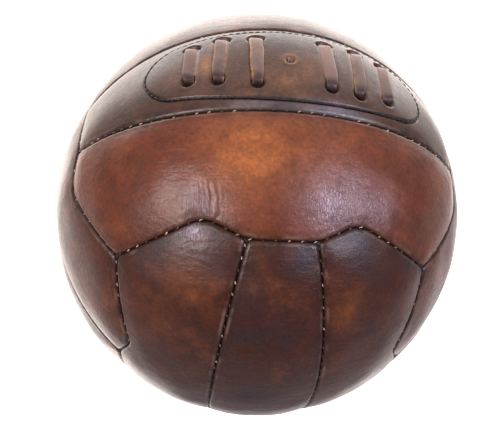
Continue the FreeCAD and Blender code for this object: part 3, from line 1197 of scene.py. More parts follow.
@dataclass
class Lace:
    """A thong of leather, laced over in bars and back under the patch."""

    name: str
    bars: tuple[Bar, ...]
    width: float = 5.3 * MM
    thickness: float = 1.4 * MM
    over: float = 0.16 * MM
    joint: float = -2.4 * MM
    under: float = -5.2 * MM
    tuck: float = 1.1 * MM
    cup: float = 0.10 * MM
    frayed: float = 0.08 * MM
    steps: int = 46
    ring: int = 28
    squareness: float = 7.0

    def path(self) -> tuple[Array, Array, Array]:
        """The middle line of the thong, its way across and its state at each point.

        Over a bar and back under the patch, the thong follows flattened half circles: with
        the angle a from 0 to pi, the share along is (1 - c) / 2, where c is the signed
        2/n-th power of cos a, and the rise is the 2/n-th power of sin a.

        Returns:
            Points, unit vectors across the thong, and six columns of state: the rise, from 1
            over a bar to -1 under, how gathered the thong is, its grime, how rubbed its left
            and right edges are, and its paleness.
        """
        angle = np.linspace(0.0, math.pi, self.steps)
        power = 2.0 / self.squareness
        cosine, sine = np.cos(angle), np.sin(angle)
        share = 0.5 - 0.5 * np.sign(cosine) * np.abs(cosine) ** power
        rise = np.abs(sine) ** power
        plans, lifts, ways, wear = [], [], [], []
        for index, bar in enumerate(self.bars):
            slot, hole = np.array(bar.slot), np.array(bar.hole)
            hole = hole + unit(slot - hole) * self.tuck
            stops = [(slot, hole, self.over, 1.0)]
            if index + 1 < len(self.bars):
                stops.append((hole, np.array(self.bars[index + 1].slot), self.under, -1.0))
            for start, end, level, sense in stops:
                run = end - start
                plans.append(start + share[:, None] * run)
                lifts.append(self.joint + rise * (level - self.joint))
                side = unit(np.array([run[1], -run[0], 0.0])) * sense
                ways.append(np.tile(side, (self.steps, 1)))
                gather = smooth_step(share, 0.78, 1.0) if sense > 0 else 1.0 - share
                grime = 0.28 * smooth_step(share, 0.2, 0.7)
                grime += 0.72 * smooth_step(share, 0.78, 0.94)
                pale = bar.pale + 0.5 * (1.0 - smooth_step(share, 0.0, 0.4))
                sides = (np.full(self.steps, side) for side in bar.rubbed)
                columns = (sense * rise, gather, grime, *sides, pale)
                wear.append(np.stack(columns, axis=1))
        points = on_ball(np.concatenate(plans), np.concatenate(lifts))
        return points, np.concatenate(ways), np.concatenate(wear)

    def build(self, material: bpy.types.Material) -> None:
        """Sweeps a flat, round-edged section along the path and closes both ends.

        The section is a flattened oval: across it, half the width times the signed 0.35th
        power of cos a, and through it, half the thickness times the signed 0.6th power of
        sin a. It narrows where the thong is gathered into a round hole.

        Args:
            material: the thong's finish.
        """
        points, ways, state = self.path()
        steps = np.linalg.norm(np.diff(points, axis=0), axis=1)
        keep = np.concatenate([[True], steps > SAME_PLACE])
        points, ways, state = points[keep], ways[keep], state[keep]
        rise, gather, grime, rubbed_left, rubbed_right, pale = state.T
        ways, through = self._steadied(points, ways)
        angle = np.linspace(0.0, 2.0 * math.pi, self.ring, endpoint=False)
        across = np.sign(np.cos(angle)) * np.abs(np.cos(angle)) ** 0.35
        depth = np.sign(np.sin(angle)) * np.abs(np.sin(angle)) ** 0.6
        drift = Ripple(7, 26 * MM, 6 * MM).at(points)
        half_width = self.width / 2.0 * (1.0 - 0.20 * gather) * (1.0 + 0.035 * drift)
        fray = Ripple(9, 12 * MM, 3 * MM).at(points) * self.frayed
        spread = across * half_width[:, None] + fray[:, None]
        half_thickness = self.thickness / 2.0 * (1.0 + 0.45 * gather)
        raised = depth * half_thickness[:, None]
        raised = raised - self.cup * across**2 * (1.0 - gather)[:, None]
        rings = points[:, None] + ways[:, None] * spread[..., None]
        rings = rings + through[:, None] * raised[..., None]
        everywhere = np.concatenate([rings.reshape(-1, 3), points[[0, -1]]])
        rubbed = np.where(across > 0.0, rubbed_left[:, None], rubbed_right[:, None])
        marks = {
            "edge": np.append((rubbed * np.abs(across) ** 4).ravel(), [0.0, 0.0]),
            # Where the thong goes down under the leather, for its painted shade.
            "pit": np.append(np.repeat(1.0 - np.clip(rise, 0.0, 1.0), self.ring), [1.0, 1.0]),
            "grime": np.append(np.repeat(grime, self.ring), [1.0, 1.0]),
            "pale": np.append(np.repeat(pale, self.ring), [0.0, 0.0]),
        }
        mesh = mixed_mesh(f"{self.name}_thong", everywhere, self._faces(len(points)))
        set_out(mesh, marks, self.name, "lace_leather", material)

    def _steadied(self, points: Array, ways: Array) -> tuple[Array, Array]:
        """Unit vectors across the thong and through it, the first averaged over nine points.

        Args:
            points: the thong's middle line.
            ways: the ways across it, which turn sharply where it goes down.

        Returns:
            Two arrays, a row to a point.
        """
        heading = unit(np.gradient(points, axis=0))
        padded = np.pad(ways, ((4, 4), (0, 0)), mode="edge")
        nine = np.ones(9) / 9.0
        ways = np.stack([np.convolve(padded[:, k], nine, "valid") for k in range(3)], axis=1)
        ways = unit(ways - heading * (ways * heading).sum(axis=1, keepdims=True))
        return ways, np.cross(ways, heading)

    def _faces(self, count: int) -> list[list[int]]:
        """The quads of the swept thong, and a fan of triangles at each end.

        Args:
            count: how many rings there are. The fans' middle points follow the rings' points.

        Returns:
            The point numbers of each face.
        """
        first = np.arange(self.ring)
        last = first + (count - 1) * self.ring
        middle = np.full(self.ring, count * self.ring)
        start = np.stack([np.roll(first, -1), first, middle], axis=1)
        end = np.stack([last, np.roll(last, -1), middle + 1], axis=1)
        sweep = grid_faces(count, self.ring, closed=True)
        return sweep.tolist() + start.tolist() + end.tolist()


# ---------------------------------------------------------------- stitching


def capsule(ring: int, rings: int) -> tuple[Array, Array]:
    """A round-ended rod along x of half-length one and radius one, with its poles closed.

    Its end rings shrink to a point: the radius is sqrt(1 - t^4) at the share t of its half
    length.

    Args:
        ring: points round the rod.
        rings: points along it.

    Returns:
        Points as (share along, y, z), and quads.
    """
    share = np.sin(np.linspace(-math.pi / 2.0, math.pi / 2.0, rings))
    radius = np.sqrt(np.maximum(1.0 - share**4, 0.0))
    angle = np.linspace(0.0, 2.0 * math.pi, ring, endpoint=False)
    beside = (radius[1:-1, None] * np.cos(angle)).ravel()
    above = (radius[1:-1, None] * np.sin(angle)).ravel()
    body = np.stack([np.repeat(share[1:-1], ring), beside, above], axis=1)
    points = np.concatenate([body, [[-1.0, 0.0, 0.0], [1.0, 0.0, 0.0]]])
    quads = grid_faces(rings - 2, ring, closed=True)
    first, last = np.arange(ring), np.arange(ring) + (rings - 3) * ring
    low, high = np.full(ring, len(body)), np.full(ring, len(body) + 1)
    start = np.stack([low, first, np.roll(first, -1), low], axis=1)
    end = np.stack([high, np.roll(last, -1), last, high], axis=1)
    return points, np.concatenate([quads, start, end])


@dataclass(frozen=True)
class Stitches:
    """Many short stitches of one thread, each placed by its own centre and directions."""

    centres: Array
    along: Array
    upwards: Array
    half_length: float
    radius: float
    sag: float

    def build(self, node: str, slot: str, material: bpy.types.Material) -> None:
        """Copies one capsule to every stitch, bent down at its ends by the sag.

        At the share t of a stitch's half length, the bend is the sag times t squared.

        Args:
            node: the CAD node that the piece stands for.
            slot: the record's material slot.
            material: its finish.
        """
        name = f"{node}_stitches"
        points, quads = capsule(ring=8, rings=8)
        sideways = np.cross(self.along, self.upwards)
        share, beside, above = points.T
        bend = -self.sag * share**2
        placed = self.centres[:, None] + self.along[:, None] * (share * self.half_length)[:, None]
        placed = placed + sideways[:, None] * (beside * self.radius)[:, None]
        placed = placed + self.upwards[:, None] * (above * self.radius + bend)[:, None]
        count, size = len(self.centres), len(points)
        everywhere = (quads[None] + (np.arange(count) * size)[:, None, None]).reshape(-1, 4)
        faces = [list(dict.fromkeys(face)) for face in everywhere.tolist()]
        luck = np.random.default_rng(len(name) * 31 + count).uniform(0.0, 1.0, count)
        mesh = mixed_mesh(name, placed.reshape(-1, 3), faces)
        set_out(mesh, {"luck": np.repeat(luck, size)}, node, slot, material)


@dataclass(frozen=True)
class SeamStitching:
    """The stitch of the seams: a strand that slants along the seam at each pair of holes."""

    depth: float = 1.70 * MM
    wander: float = 0.30 * MM
    half_length: float = 0.72 * MM
    radius: float = 0.26 * MM
    sag: float = 0.3 * MM
    slant: float = 0.45

    def place(self, seam: Seam) -> tuple[Array, Array, Array]:
        """Centres, directions and up-directions of a seam's strands.

        Args:
            seam: the seam that they sew.

        Returns:
            Three arrays, a row to a stitch.
        """
        count = seam.stitches
        distances = (np.arange(count) + 0.5) / count * seam.chain.length
        upwards = seam.chain.at(distances)
        heading = seam.chain.heading(distances)
        across = np.cross(upwards, heading)
        deep = self.depth + self.wander * Ripple(17, 70 * MM, 9 * MM).at(upwards * BALL_RADIUS)
        along = unit(heading + across * self.slant)
        return upwards * (BALL_RADIUS - deep)[:, None], along, upwards

    def build(self, seams: list[Seam], material: bpy.types.Material) -> None:
        """Makes one piece of thread for each CAD node of seam thread.

        Args:
            seams: every seam of the ball.
            material: the thread's finish.
        """
        for node in dict.fromkeys(seam.node for seam in seams):
            placed = [self.place(seam) for seam in seams if seam.node == node]
            centres, along, upwards = (np.concatenate(parts) for parts in zip(*placed))
            stitches = Stitches(centres, along, upwards, self.half_length, self.radius, self.sag)
            stitches.build(node, "seam_thread", material)


@dataclass(frozen=True)
class PatchStitching:
    """The black running stitch that holds the patch under the lacing panel."""

    panel: LacingPanel
    pitch: float = 2.7 * MM
    half_length: float = 1.32 * MM
    radius: float = 0.32 * MM
    sag: float = 0.35 * MM
    lift: float = 0.10 * MM

    def build(self, material: bpy.types.Material) -> None:
        """Lays the stitches end to end over their groove, a little above the skin.

        Args:
            material: the thread's finish.
        """
        rough = self.panel.oval.line(400)
        girth = float(np.linalg.norm(rough - np.roll(rough, -1, axis=0), axis=1).sum())
        count = round(girth / self.pitch)
        plan = self.panel.oval.line(count)
        step = 0.5 * (np.roll(plan, -1, axis=0) - np.roll(plan, 1, axis=0))
        hide, zeros = self.panel.hide, np.zeros(count)
        upwards = unit(on_ball(plan, zeros))
        distance = self.panel.outline.measure(upwards)[0]
        skin = hide.skin(distance, zeros, zeros + hide.ripple_level)
        lift = skin - BALL_RADIUS + self.lift
        centres = on_ball(plan, lift)
        ahead = on_ball(plan + step * 0.1, lift) - centres
        along = unit(ahead - upwards * (ahead * upwards).sum(axis=1, keepdims=True))
        stitches = Stitches(centres, along, upwards, self.half_length, self.radius, self.sag)
        stitches.build("patch_thread", "patch_thread", material)


# ---------------------------------------------------------------- finishes


# The Mix node has a set of sockets for each kind of value, and these are those for colours.
MIX_INPUTS, MIX_OUTPUT = (0, 6, 7), 2
CREASE_SCALE = 560.0
CREASE_SQUASH = (1.9, 0.7, 0.7)


def ramp(
    tree: bpy.types.NodeTree, start: float, end: float, low: float, high: float
) -> bpy.types.Node:
    """A Map Range node that carries a number from start..end to low..high, smoothly.

    Args:
        tree: the tree that it is in.
        start: the number that gives low.
        end: the number that gives high.
        low: the result at start.
        high: the result at end.

    Returns:
        The node.
    """
    node = tree.nodes.new("ShaderNodeMapRange")
    node.interpolation_type = "SMOOTHSTEP"
    names = ("From Min", "From Max", "To Min", "To Max")
    for name, number in zip(names, (start, end, low, high)):
        node.inputs[name].default_value = number
    return node


class NodeBook:
    """A short way to write a material's nodes."""

    def __init__(self, name: str) -> None:
        """Starts an empty material with an output and a Principled shader.

        Args:
            name: the material's name.
        """
        self.material = bpy.data.materials.new(name)
        self.material.use_nodes = True
        self.tree = self.material.node_tree
        self.tree.nodes.clear()
        self.shader = self.tree.nodes.new("ShaderNodeBsdfPrincipled")
        output = self.tree.nodes.new("ShaderNodeOutputMaterial")
        self.tree.links.new(self.shader.outputs["BSDF"], output.inputs["Surface"])
        self.place = self.tree.nodes.new("ShaderNodeTexCoord").outputs["Object"]

    def feed(self, socket: bpy.types.NodeSocket, value: object) -> None:
        """Links a socket to another one, or sets its number or colour.

        Args:
            socket: the socket that takes the value.
            value: an output socket, a number, or a colour of three or four numbers.
        """
        if isinstance(value, bpy.types.NodeSocket):
            self.tree.links.new(value, socket)
        elif isinstance(value, tuple) and len(value) == 3 and socket.type == "RGBA":
            socket.default_value = (*value, 1.0)
        else:
            socket.default_value = value

    def give(self, values: dict[str, object]) -> None:
        """Feeds the shader's own sockets, by name."""
        for name, value in values.items():
            self.feed(self.shader.inputs[name], value)

    def mark(self, name: str) -> bpy.types.NodeSocket:
        """A number that the mesh carries at each point.

        Args:
            name: the mark's name.

        Returns:
            The number's socket.
        """
        node = self.tree.nodes.new("ShaderNodeAttribute")
        node.attribute_name = name
        return node.outputs["Fac"]

    def noise(
        self, scale: float, detail: float = 4.0, rough: float = 0.55, squash: object = None
    ) -> bpy.types.NodeSocket:
        """Soft noise.

        Args:
            scale: how many spots there are to a metre.
            detail: how many finer layers it has.
            rough: how strong the finer layers are.
            squash: three numbers that the place is multiplied by, or nothing.

        Returns:
            The noise's socket, near 0.5.
        """
        node = self.tree.nodes.new("ShaderNodeTexNoise")
        self.feed(node.inputs["Vector"], self.stretched(squash) if squash else self.place)
        self.feed(node.inputs["Scale"], scale)
        self.feed(node.inputs["Detail"], detail)
        self.feed(node.inputs["Roughness"], rough)
        return node.outputs["Fac"]

    def cells(
        self, scale: float, feature: str = "F1", squash: object = None
    ) -> bpy.types.NodeSocket:
        """Distance to scattered points, or to the borders between them.

        Args:
            scale: how many points there are to a metre.
            feature: F1 for the nearest point, DISTANCE_TO_EDGE for the nearest border.
            squash: three numbers that the place is multiplied by, or nothing.

        Returns:
            The distance's socket.
        """
        node = self.tree.nodes.new("ShaderNodeTexVoronoi")
        node.feature = feature
        self.feed(node.inputs["Vector"], self.stretched(squash) if squash else self.place)
        self.feed(node.inputs["Scale"], scale)
        return node.outputs["Distance"]

    def creases(self, start: float, low: float) -> bpy.types.NodeSocket:
        """The net of fine cracks: low along a crack, one away from it.

        Args:
            start: how wide the bottom of a crack is.
            low: the number there.

        Returns:
            The number's socket.
        """
        borders = self.cells(CREASE_SCALE, "DISTANCE_TO_EDGE", CREASE_SQUASH)
        return self.span(borders, start, 0.20, low, 1.0)

    def stretched(self, scale: object) -> bpy.types.NodeSocket:
        """The place on the object, scaled in x, y and z.

        Args:
            scale: three numbers.

        Returns:
            The scaled place's socket.
        """
        node = self.tree.nodes.new("ShaderNodeMapping")
        self.feed(node.inputs["Vector"], self.place)
        self.feed(node.inputs["Scale"], scale)
        return node.outputs["Vector"]

    def span(
        self, value: object, start: float, end: float, low: float = 0.0, high: float = 1.0
    ) -> bpy.types.NodeSocket:
        """A number carried from start..end to low..high, smoothly, and held there.

        Args:
            value: the number's socket.
            start: the number that gives low.
            end: the number that gives high.
            low: the result at start.
            high: the result at end.

        Returns:
            The result's socket.
        """
        node = ramp(self.tree, start, end, low, high)
        self.feed(node.inputs["Value"], value)
        return node.outputs["Result"]

    def calc(self, operation: str, *numbers: object) -> bpy.types.NodeSocket:
        """Arithmetic on one, two or three numbers.

        Args:
            operation: the Math node's name for it.
            numbers: sockets or numbers, in the node's order.

        Returns:
            The result's socket.
        """
        node = self.tree.nodes.new("ShaderNodeMath")
        node.operation = operation
        for socket, number in zip(node.inputs, numbers):
            self.feed(socket, number)
        return node.outputs["Value"]

    def mix(
        self, share: object, first: object, second: object, how: str = "MIX"
    ) -> bpy.types.NodeSocket:
        """Two colours mixed by a share.

        Args:
            share: nought for the first colour, one for the second.
            first: a socket or a colour.
            second: a socket or a colour.
            how: the Mix node's name for the way of mixing.

        Returns:
            The colour's socket.
        """
        node = self.tree.nodes.new("ShaderNodeMix")
        node.data_type = "RGBA"
        node.blend_type = how
        for index, value in zip(MIX_INPUTS, (share, first, second)):
            self.feed(node.inputs[index], value)
        return node.outputs[MIX_OUTPUT]

    def grey(self, value: bpy.types.NodeSocket) -> bpy.types.NodeSocket:
        """A grey colour of one brightness.

        Args:
            value: the brightness.

        Returns:
            The colour's socket.
        """
        node = self.tree.nodes.new("ShaderNodeCombineColor")
        for socket in node.inputs:
            self.feed(socket, value)
        return node.outputs["Color"]

    def bump(self, height: object, depth: float, under: object = None) -> bpy.types.NodeSocket:
        """A bump, on top of another one where there is one.

        Args:
            height: the socket of the pattern.
            depth: how high the pattern is at one, in metres.
            under: the other bump's socket.

        Returns:
            The socket of the surface's new direction.
        """
        node = self.tree.nodes.new("ShaderNodeBump")
        self.feed(node.inputs["Height"], height)
        node.inputs["Distance"].default_value = depth
        if under is not None:
            self.feed(node.inputs["Normal"], under)
        return node.outputs["Normal"]


LEATHER_GLOSS = {
    "Specular IOR Level": 0.32,
    "Coat Weight": 0.08,
    "Coat Roughness": 0.30,
    "Sheen Roughness": 0.20,
    "Sheen Tint": (1.0, 0.82, 0.76),
}


@dataclass(frozen=True)
class Mottling:
    """The noises that a hide's colour and gloss are made of, from coarse to fine."""

    cloud: bpy.types.NodeSocket
    patch: bpy.types.NodeSocket
    streak: bpy.types.NodeSocket
    speck: bpy.types.NodeSocket

    @classmethod
    def on(cls, book: NodeBook) -> "Mottling":
        """The noises on a material, of spots 50, 21, 8 and 1.4 mm apart."""
        clouds = (book.noise(20.0, 5.0, 0.6), book.noise(48.0, 5.0, 0.62))
        return cls(*clouds, book.noise(120.0, 5.0, 0.6), book.noise(700.0, 3.0, 0.7))


@dataclass(frozen=True)
class AgedLeather:
    """Waxed, handled cowhide: mottled browns, burnished and stained spots, and a fine grain, with
    painted sheen, painted shade by the seams and in pits, and a pale edge band that is partly a
    painted highlight.
    """

    name: str
    deep: Colour = (0.045, 0.0150, 0.0098)
    red: Colour = (0.150, 0.037, 0.016)
    ochre: Colour = (0.46, 0.150, 0.045)
    # The grey of faded wear, partly a painted sheen.
    bloom_and_sheen: Colour = (0.21, 0.21, 0.215)
    ink: Colour = (0.022, 0.017, 0.024)
    # A lilac painted sheen, mixed in where the hide is polished.
    wax: Colour = (0.42, 0.34, 0.44)
    # Near black: soot in the seam, and painted shade in the halo by the seam and in the lacing
    # panel's pits.
    seam: Colour = (0.014, 0.007, 0.005)
    # A pale band along the edges: partly rubbed leather, partly a painted highlight of the rolled
    # lip.
    rim: Colour = (0.26, 0.17, 0.13)
    raw: Colour = (0.34, 0.14, 0.045)
    sheen: float = 0.12
    pebbles: float = 0.04 * MM
    lines: float = 0.08 * MM
    lumps: float = 0.09 * MM
    cracks: float = 0.07 * MM
    lacing: bool = False

    def build(self) -> bpy.types.Material:
        """Mottling by noise, marks of use by the mesh's marks, and grain by bumps.

        Returns:
            The material.
        """
        book = NodeBook(self.name)
        mottling = Mottling.on(book)
        colour = self._worn(book, mottling, self._dyed(book, mottling))
        if self.lacing:
            colour = book.mix(book.mark("raw"), colour, self.raw)
            # Painted shade in the holes, the slits and the groove.
            colour = book.mix(book.mark("pit"), colour, self.seam)
        colour = self._edged(book, mottling, colour)
        polish = book.mark("polish")
        rough = book.span(book.calc("ADD", mottling.speck, mottling.cloud), 0.7, 1.3, 0.42, 0.31)
        rough = book.calc("SUBTRACT", rough, book.calc("MULTIPLY", polish, 0.10))
        rough = book.calc("ADD", rough, book.calc("MULTIPLY", book.mark("stain"), 0.25))
        normal = self._grain(book, polish)
        book.give({"Base Color": colour, "Roughness": rough, "Normal": normal})
        book.give(LEATHER_GLOSS | {"Sheen Weight": self.sheen})
        return book.material

    def _dyed(self, book: NodeBook, mottling: Mottling) -> bpy.types.NodeSocket:
        """The hide's own browns, redder where it is warm, with a few tan spots.

        Args:
            book: the material's nodes.
            mottling: its noises.

        Returns:
            The colour's socket.
        """
        cloud, patch, streak = mottling.cloud, mottling.patch, mottling.streak
        warm = book.calc("MULTIPLY_ADD", book.span(cloud, 0.34, 0.66), 0.34, book.mark("warm"))
        warm = book.calc("ADD", warm, book.span(streak, 0.3, 0.7, -0.22, 0.22))
        colour = book.mix(book.span(warm, -0.1, 1.5), self.deep, self.red)
        tan = book.calc("MULTIPLY", book.span(patch, 0.50, 0.68), book.span(streak, 0.35, 0.65))
        return book.mix(book.calc("MULTIPLY", tan, 0.13), colour, self.ochre)

    def _worn(
        self, book: NodeBook, mottling: Mottling, colour: bpy.types.NodeSocket
    ) -> bpy.types.NodeSocket:
        """The colour with its marks of use: burnish, stain, fade, polish and fine specks. The grey
        of fade is partly pale wear and partly painted sheen, and the lilac where the hide is
        polished is painted sheen.

        Args:
            book: the material's nodes.
            mottling: its noises.
            colour: the hide's own colour.

        Returns:
            The colour's socket.
        """
        streak = mottling.streak
        burnt = book.span(streak, 0.25, 0.62, 0.45, 1.15)
        colour = book.mix(book.calc("MULTIPLY", book.mark("burnish"), burnt), colour, self.ochre)
        blue = book.calc("MULTIPLY", book.span(mottling.patch, 0.46, 0.30), book.mark("dark"))
        stain = book.calc("MULTIPLY", book.mark("stain"), book.span(streak, 0.3, 0.7, 0.4, 1.2))
        colour = book.mix(book.calc("ADD", blue, stain), colour, self.ink)
        # Fade mixes in a grey that is partly pale wear and partly painted sheen.
        fade = book.calc("MULTIPLY", book.mark("fade"), book.span(streak, 0.3, 0.7, 0.5, 1.1))
        colour = book.mix(fade, colour, self.bloom_and_sheen)
        # Painted sheen: lilac where the hide is polished, broken by streaks and cracks.
        sheen_streaks = book.span(streak, 0.25, 0.7, 0.10, 0.40)
        painted_sheen = book.calc("MULTIPLY", book.mark("polish"), sheen_streaks)
        painted_sheen = book.calc("MULTIPLY", painted_sheen, book.creases(0.02, 0.45))
        colour = book.mix(painted_sheen, colour, self.wax)
        shade = book.grey(book.span(mottling.speck, 0.25, 0.75, 0.74, 1.27))
        return book.mix(1.0, colour, shade, "MULTIPLY")

    def _edged(
        self, book: NodeBook, mottling: Mottling, colour: bpy.types.NodeSocket
    ) -> bpy.types.NodeSocket:
        """The colour with a dark halo by the seam, partly a darkened edge and partly painted shade
        where the leather dips, a pale edge band that is partly rubbed and partly a painted
        highlight, and soot in the seam.

        Args:
            book: the material's nodes.
            mottling: its noises.
            colour: the panel's colour.

        Returns:
            The colour's socket.
        """
        seam = book.mark("seam")
        # Painted shade: up to 42 per cent darker within 5 mm of the seam where the leather dips,
        # besides a darkened edge.
        colour = book.mix(book.span(seam, 0.4, 5.0, 0.42, 0.0), colour, self.seam)
        # A pale band 0.5 to 2.4 mm from the seam: partly rubbed leather, partly a painted highlight
        # of the lip.
        rim = book.calc("MULTIPLY", book.span(seam, 0.5, 1.3), book.span(seam, 2.4, 1.3))
        edge_wear_and_highlight_share = book.calc("MULTIPLY", rim, book.span(mottling.streak, 0.42, 0.70, 0.0, 0.42))
        colour = book.mix(edge_wear_and_highlight_share, colour, self.rim)
        return book.mix(book.span(seam, 0.05, 0.65, 0.92, 0.0), colour, self.seam)

    def _grain(self, book: NodeBook, polish: bpy.types.NodeSocket) -> bpy.types.NodeSocket:
        """Pebbled grain, pores, and fine cracks that show most where the hide is polished.

        Args:
            book: the material's nodes.
            polish: how polished the hide is.

        Returns:
            The socket of the surface's direction.
        """
        pebble = book.bump(book.cells(1300.0), self.pebbles)
        lumps = book.bump(book.noise(330.0, 4.0, 0.6), self.lumps, pebble)
        lines = book.span(book.noise(170.0, 5.0, 0.65, squash=(0.4, 1.2, 1.2)), 0.35, 0.65)
        lumps = book.bump(lines, self.lines, lumps)
        cracked = book.calc("MULTIPLY", book.creases(0.0, 0.0), book.span(polish, 0.05, 0.9))
        return book.bump(cracked, self.cracks, lumps)


@dataclass(frozen=True)
class LaceLeather:
    """A greased thong: purple-brown faces, and edges rubbed to amber."""

    face: Colour = (0.090, 0.055, 0.043)
    pale: Colour = (0.180, 0.108, 0.078)
    pink: Colour = (0.250, 0.140, 0.108)
    amber: Colour = (0.50, 0.20, 0.045)
    grime: Colour = (0.026, 0.014, 0.016)
    # Painted shade where the thong goes down under the leather.
    dark: Colour = (0.010, 0.006, 0.006)
    grain: float = 0.10 * MM
    fibres: float = 0.20 * MM

    def build(self) -> bpy.types.Material:
        """Mottled along the thong, amber at the edges, and painted shade where it goes down into a
        slit or hole.

        Returns:
            The material.
        """
        book = NodeBook("lace_leather")
        patchy = book.noise(190.0, 4.0, 0.6)
        colour = book.mix(book.span(patchy, 0.38, 0.68), self.face, self.pale)
        colour = book.mix(book.calc("MULTIPLY", book.mark("pale"), 0.85), colour, self.pink)
        colour = book.mix(book.calc("MULTIPLY", book.mark("grime"), 0.9), colour, self.grime)
        rubbed = book.calc("MULTIPLY", book.mark("edge"), book.span(book.noise(480.0), 0.35, 0.60))
        colour = book.mix(rubbed, colour, self.amber)
        # Painted shade where the thong goes down under the leather.
        colour = book.mix(book.span(book.mark("pit"), 0.25, 0.8), colour, self.dark)
        grain = book.bump(book.noise(900.0, 3.0, 0.6), self.grain)
        along = book.noise(300.0, 4.0, 0.6, squash=(1.0, 0.3, 1.0))
        rough = book.span(patchy, 0.3, 0.7, 0.36, 0.55)
        normal = book.bump(along, self.fibres, grain)
        book.give({"Base Color": colour, "Roughness": rough, "Normal": normal})
        return book.material


@dataclass(frozen=True)
class WaxedThread:
    """Twisted linen thread drawn through wax."""

    name: str
    clean: Colour
    dirty: Colour
    roughness: float = 0.38
    twist: float = 0.08 * MM

    def build(self) -> bpy.types.Material:
        """Some stitches clean and some dirty, with the twist of the strands as a bump.

        Returns:
            The material.
        """
        book = NodeBook(self.name)
        grime = book.noise(900.0, 3.0, 0.6)
        share = book.calc("ADD", book.mark("luck"), book.span(grime, 0.3, 0.7, -0.25, 0.25))
        wave = book.tree.nodes.new("ShaderNodeTexWave")
        wave.bands_direction = "DIAGONAL"
        book.feed(wave.inputs["Vector"], book.place)
        wave.inputs["Scale"].default_value = 1100.0
        colour = book.mix(book.span(share, 0.35, 0.95), self.dirty, self.clean)
        rough = book.span(grime, 0.3, 0.7, self.roughness, 0.6)
        normal = book.bump(wave.outputs["Fac"], self.twist)
        book.give({"Base Color": colour, "Roughness": rough, "Normal": normal})
        return book.material


@dataclass(frozen=True)
class InnerFinish:
    """A plain mottled finish for the pieces that are hidden inside the ball."""

    name: str
    first: Colour
    second: Colour
    scale: float
    roughness: float
    depth: float

    def build(self) -> bpy.types.Material:
        """Two close colours mottled together, with a bump of the same pattern.

        Returns:
            The material.
        """
        book = NodeBook(self.name)
        pattern = book.noise(self.scale, 4.0, 0.6)
        colour = book.mix(pattern, self.first, self.second)
        rough = book.span(pattern, 0.2, 0.8, self.roughness - 0.08, self.roughness + 0.08)
        normal = book.bump(pattern, self.depth)
        book.give({"Base Color": colour, "Roughness": rough, "Normal": normal})
        return book.material


# ---------------------------------------------------------------- marks of use on this ball

# Polished and faded spots also paint sheen: on the pleats, on the peaks and by the lacing panel's
# front seam.
PATINA = (
    Patina(Wear.BURNISH, "top_front_panel", (-0.16, -0.39), 11 * MM, 0.52, 1.2),
    Patina(Wear.BURNISH, "top_front_panel", (-0.06, -0.45), 8 * MM, 0.24, 1.3),
    Patina(Wear.BURNISH, "top_front_panel", (-0.11, -0.31), 8 * MM, 0.12, 1.8),
    Patina(Wear.BURNISH, "top_front_panel", (-0.19, -0.57), 6 * MM, 0.16, 1.2),
    Patina(Wear.POLISH, "top_front_panel", (0.17, -0.60), 6 * MM, 0.9, 0.9),
    Patina(Wear.POLISH, "top_front_panel", (0.18, -0.58), 14 * MM, 0.5, 0.9),
    Patina(Wear.POLISH, "top_front_panel", (-0.33, -0.61), 6 * MM, 0.8, 0.8),
    Patina(Wear.POLISH, "top_front_panel", (0.42, -0.60), 8 * MM, 0.6),
    Patina(Wear.STAIN, "top_front_panel", (0.05, -0.48), 5 * MM, 0.20, 1.2),
    Patina(Wear.FADE, "top_front_panel", (-0.33, -0.63), 5 * MM, 0.28),
    Patina(Wear.BURNISH, "top_front_panel", (0.48, -0.27), 14 * MM, 0.05, 1.4),
    Patina(Wear.BURNISH, "top_front_panel", (0.12, -0.36), 12 * MM, 0.16, 1.4),
    Patina(Wear.BURNISH, "top_front_panel", (0.12, -0.49), 9 * MM, 0.12, 1.2),
    Patina(Wear.BURNISH, "top_lacing_panel", (-0.28, -0.02), 5 * MM, 0.60, 0.8),
    Patina(Wear.BURNISH, "top_lacing_panel", (-0.25, 0.08), 4 * MM, 0.40, 0.6),
    Patina(Wear.BURNISH, "top_lacing_panel", (0.08, -0.04), 9 * MM, 0.20, 0.9),
    Patina(Wear.BURNISH, "top_lacing_panel", (-0.02, -0.08), 7 * MM, 0.16),
    Patina(Wear.FADE, "top_lacing_panel", (0.20, -0.215), 3.5 * MM, 0.75, 6.0),
    Patina(Wear.FADE, "top_lacing_panel", (-0.12, -0.205), 2.5 * MM, 0.45, 6.0),
    Patina(Wear.POLISH, "top_lacing_panel", (0.16, -0.20), 2.5 * MM, 0.9, 5.0),
    Patina(Wear.FADE, "top_lacing_panel", (0.46, -0.02), 8 * MM, 0.30),
    Patina(Wear.POLISH, "front_left_panel", (1.36, -0.53), 4 * MM, 1.5, 0.55),
    Patina(Wear.POLISH, "front_left_panel", (1.22, -0.50), 6 * MM, 0.35, 0.8),
    Patina(Wear.STAIN, "front_left_panel", (1.15, -0.70), 11 * MM, 0.55),
    Patina(Wear.BURNISH, "front_left_panel", (0.95, -0.48), 10 * MM, 0.17, 0.9),
    Patina(Wear.STAIN, "front_left_panel", (1.02, -0.30), 6 * MM, 0.35, 1.4),
    Patina(Wear.STAIN, "front_right_panel", (1.30, 0.42), 8 * MM, 0.40),
    Patina(Wear.POLISH, "front_middle_panel", (1.22, 0.11), 4 * MM, 0.45, 0.6),
    Patina(Wear.STAIN, "front_middle_panel", (1.12, 0.14), 7 * MM, 0.45),
    Patina(Wear.STAIN, "front_middle_panel", (0.85, -0.15), 8 * MM, 0.35),
    Patina(Wear.STAIN, "front_middle_panel", (0.70, 0.03), 10 * MM, 0.25),
    Patina(Wear.STAIN, "front_middle_panel", (0.20, -0.08), 11 * MM, 0.65, 0.7),
    Patina(Wear.BURNISH, "front_right_panel", (0.75, 0.33), 10 * MM, 0.12),
    Patina(Wear.STAIN, "right_upper_panel", (-0.718, 0.474), 1.7 * MM, 0.95),
)
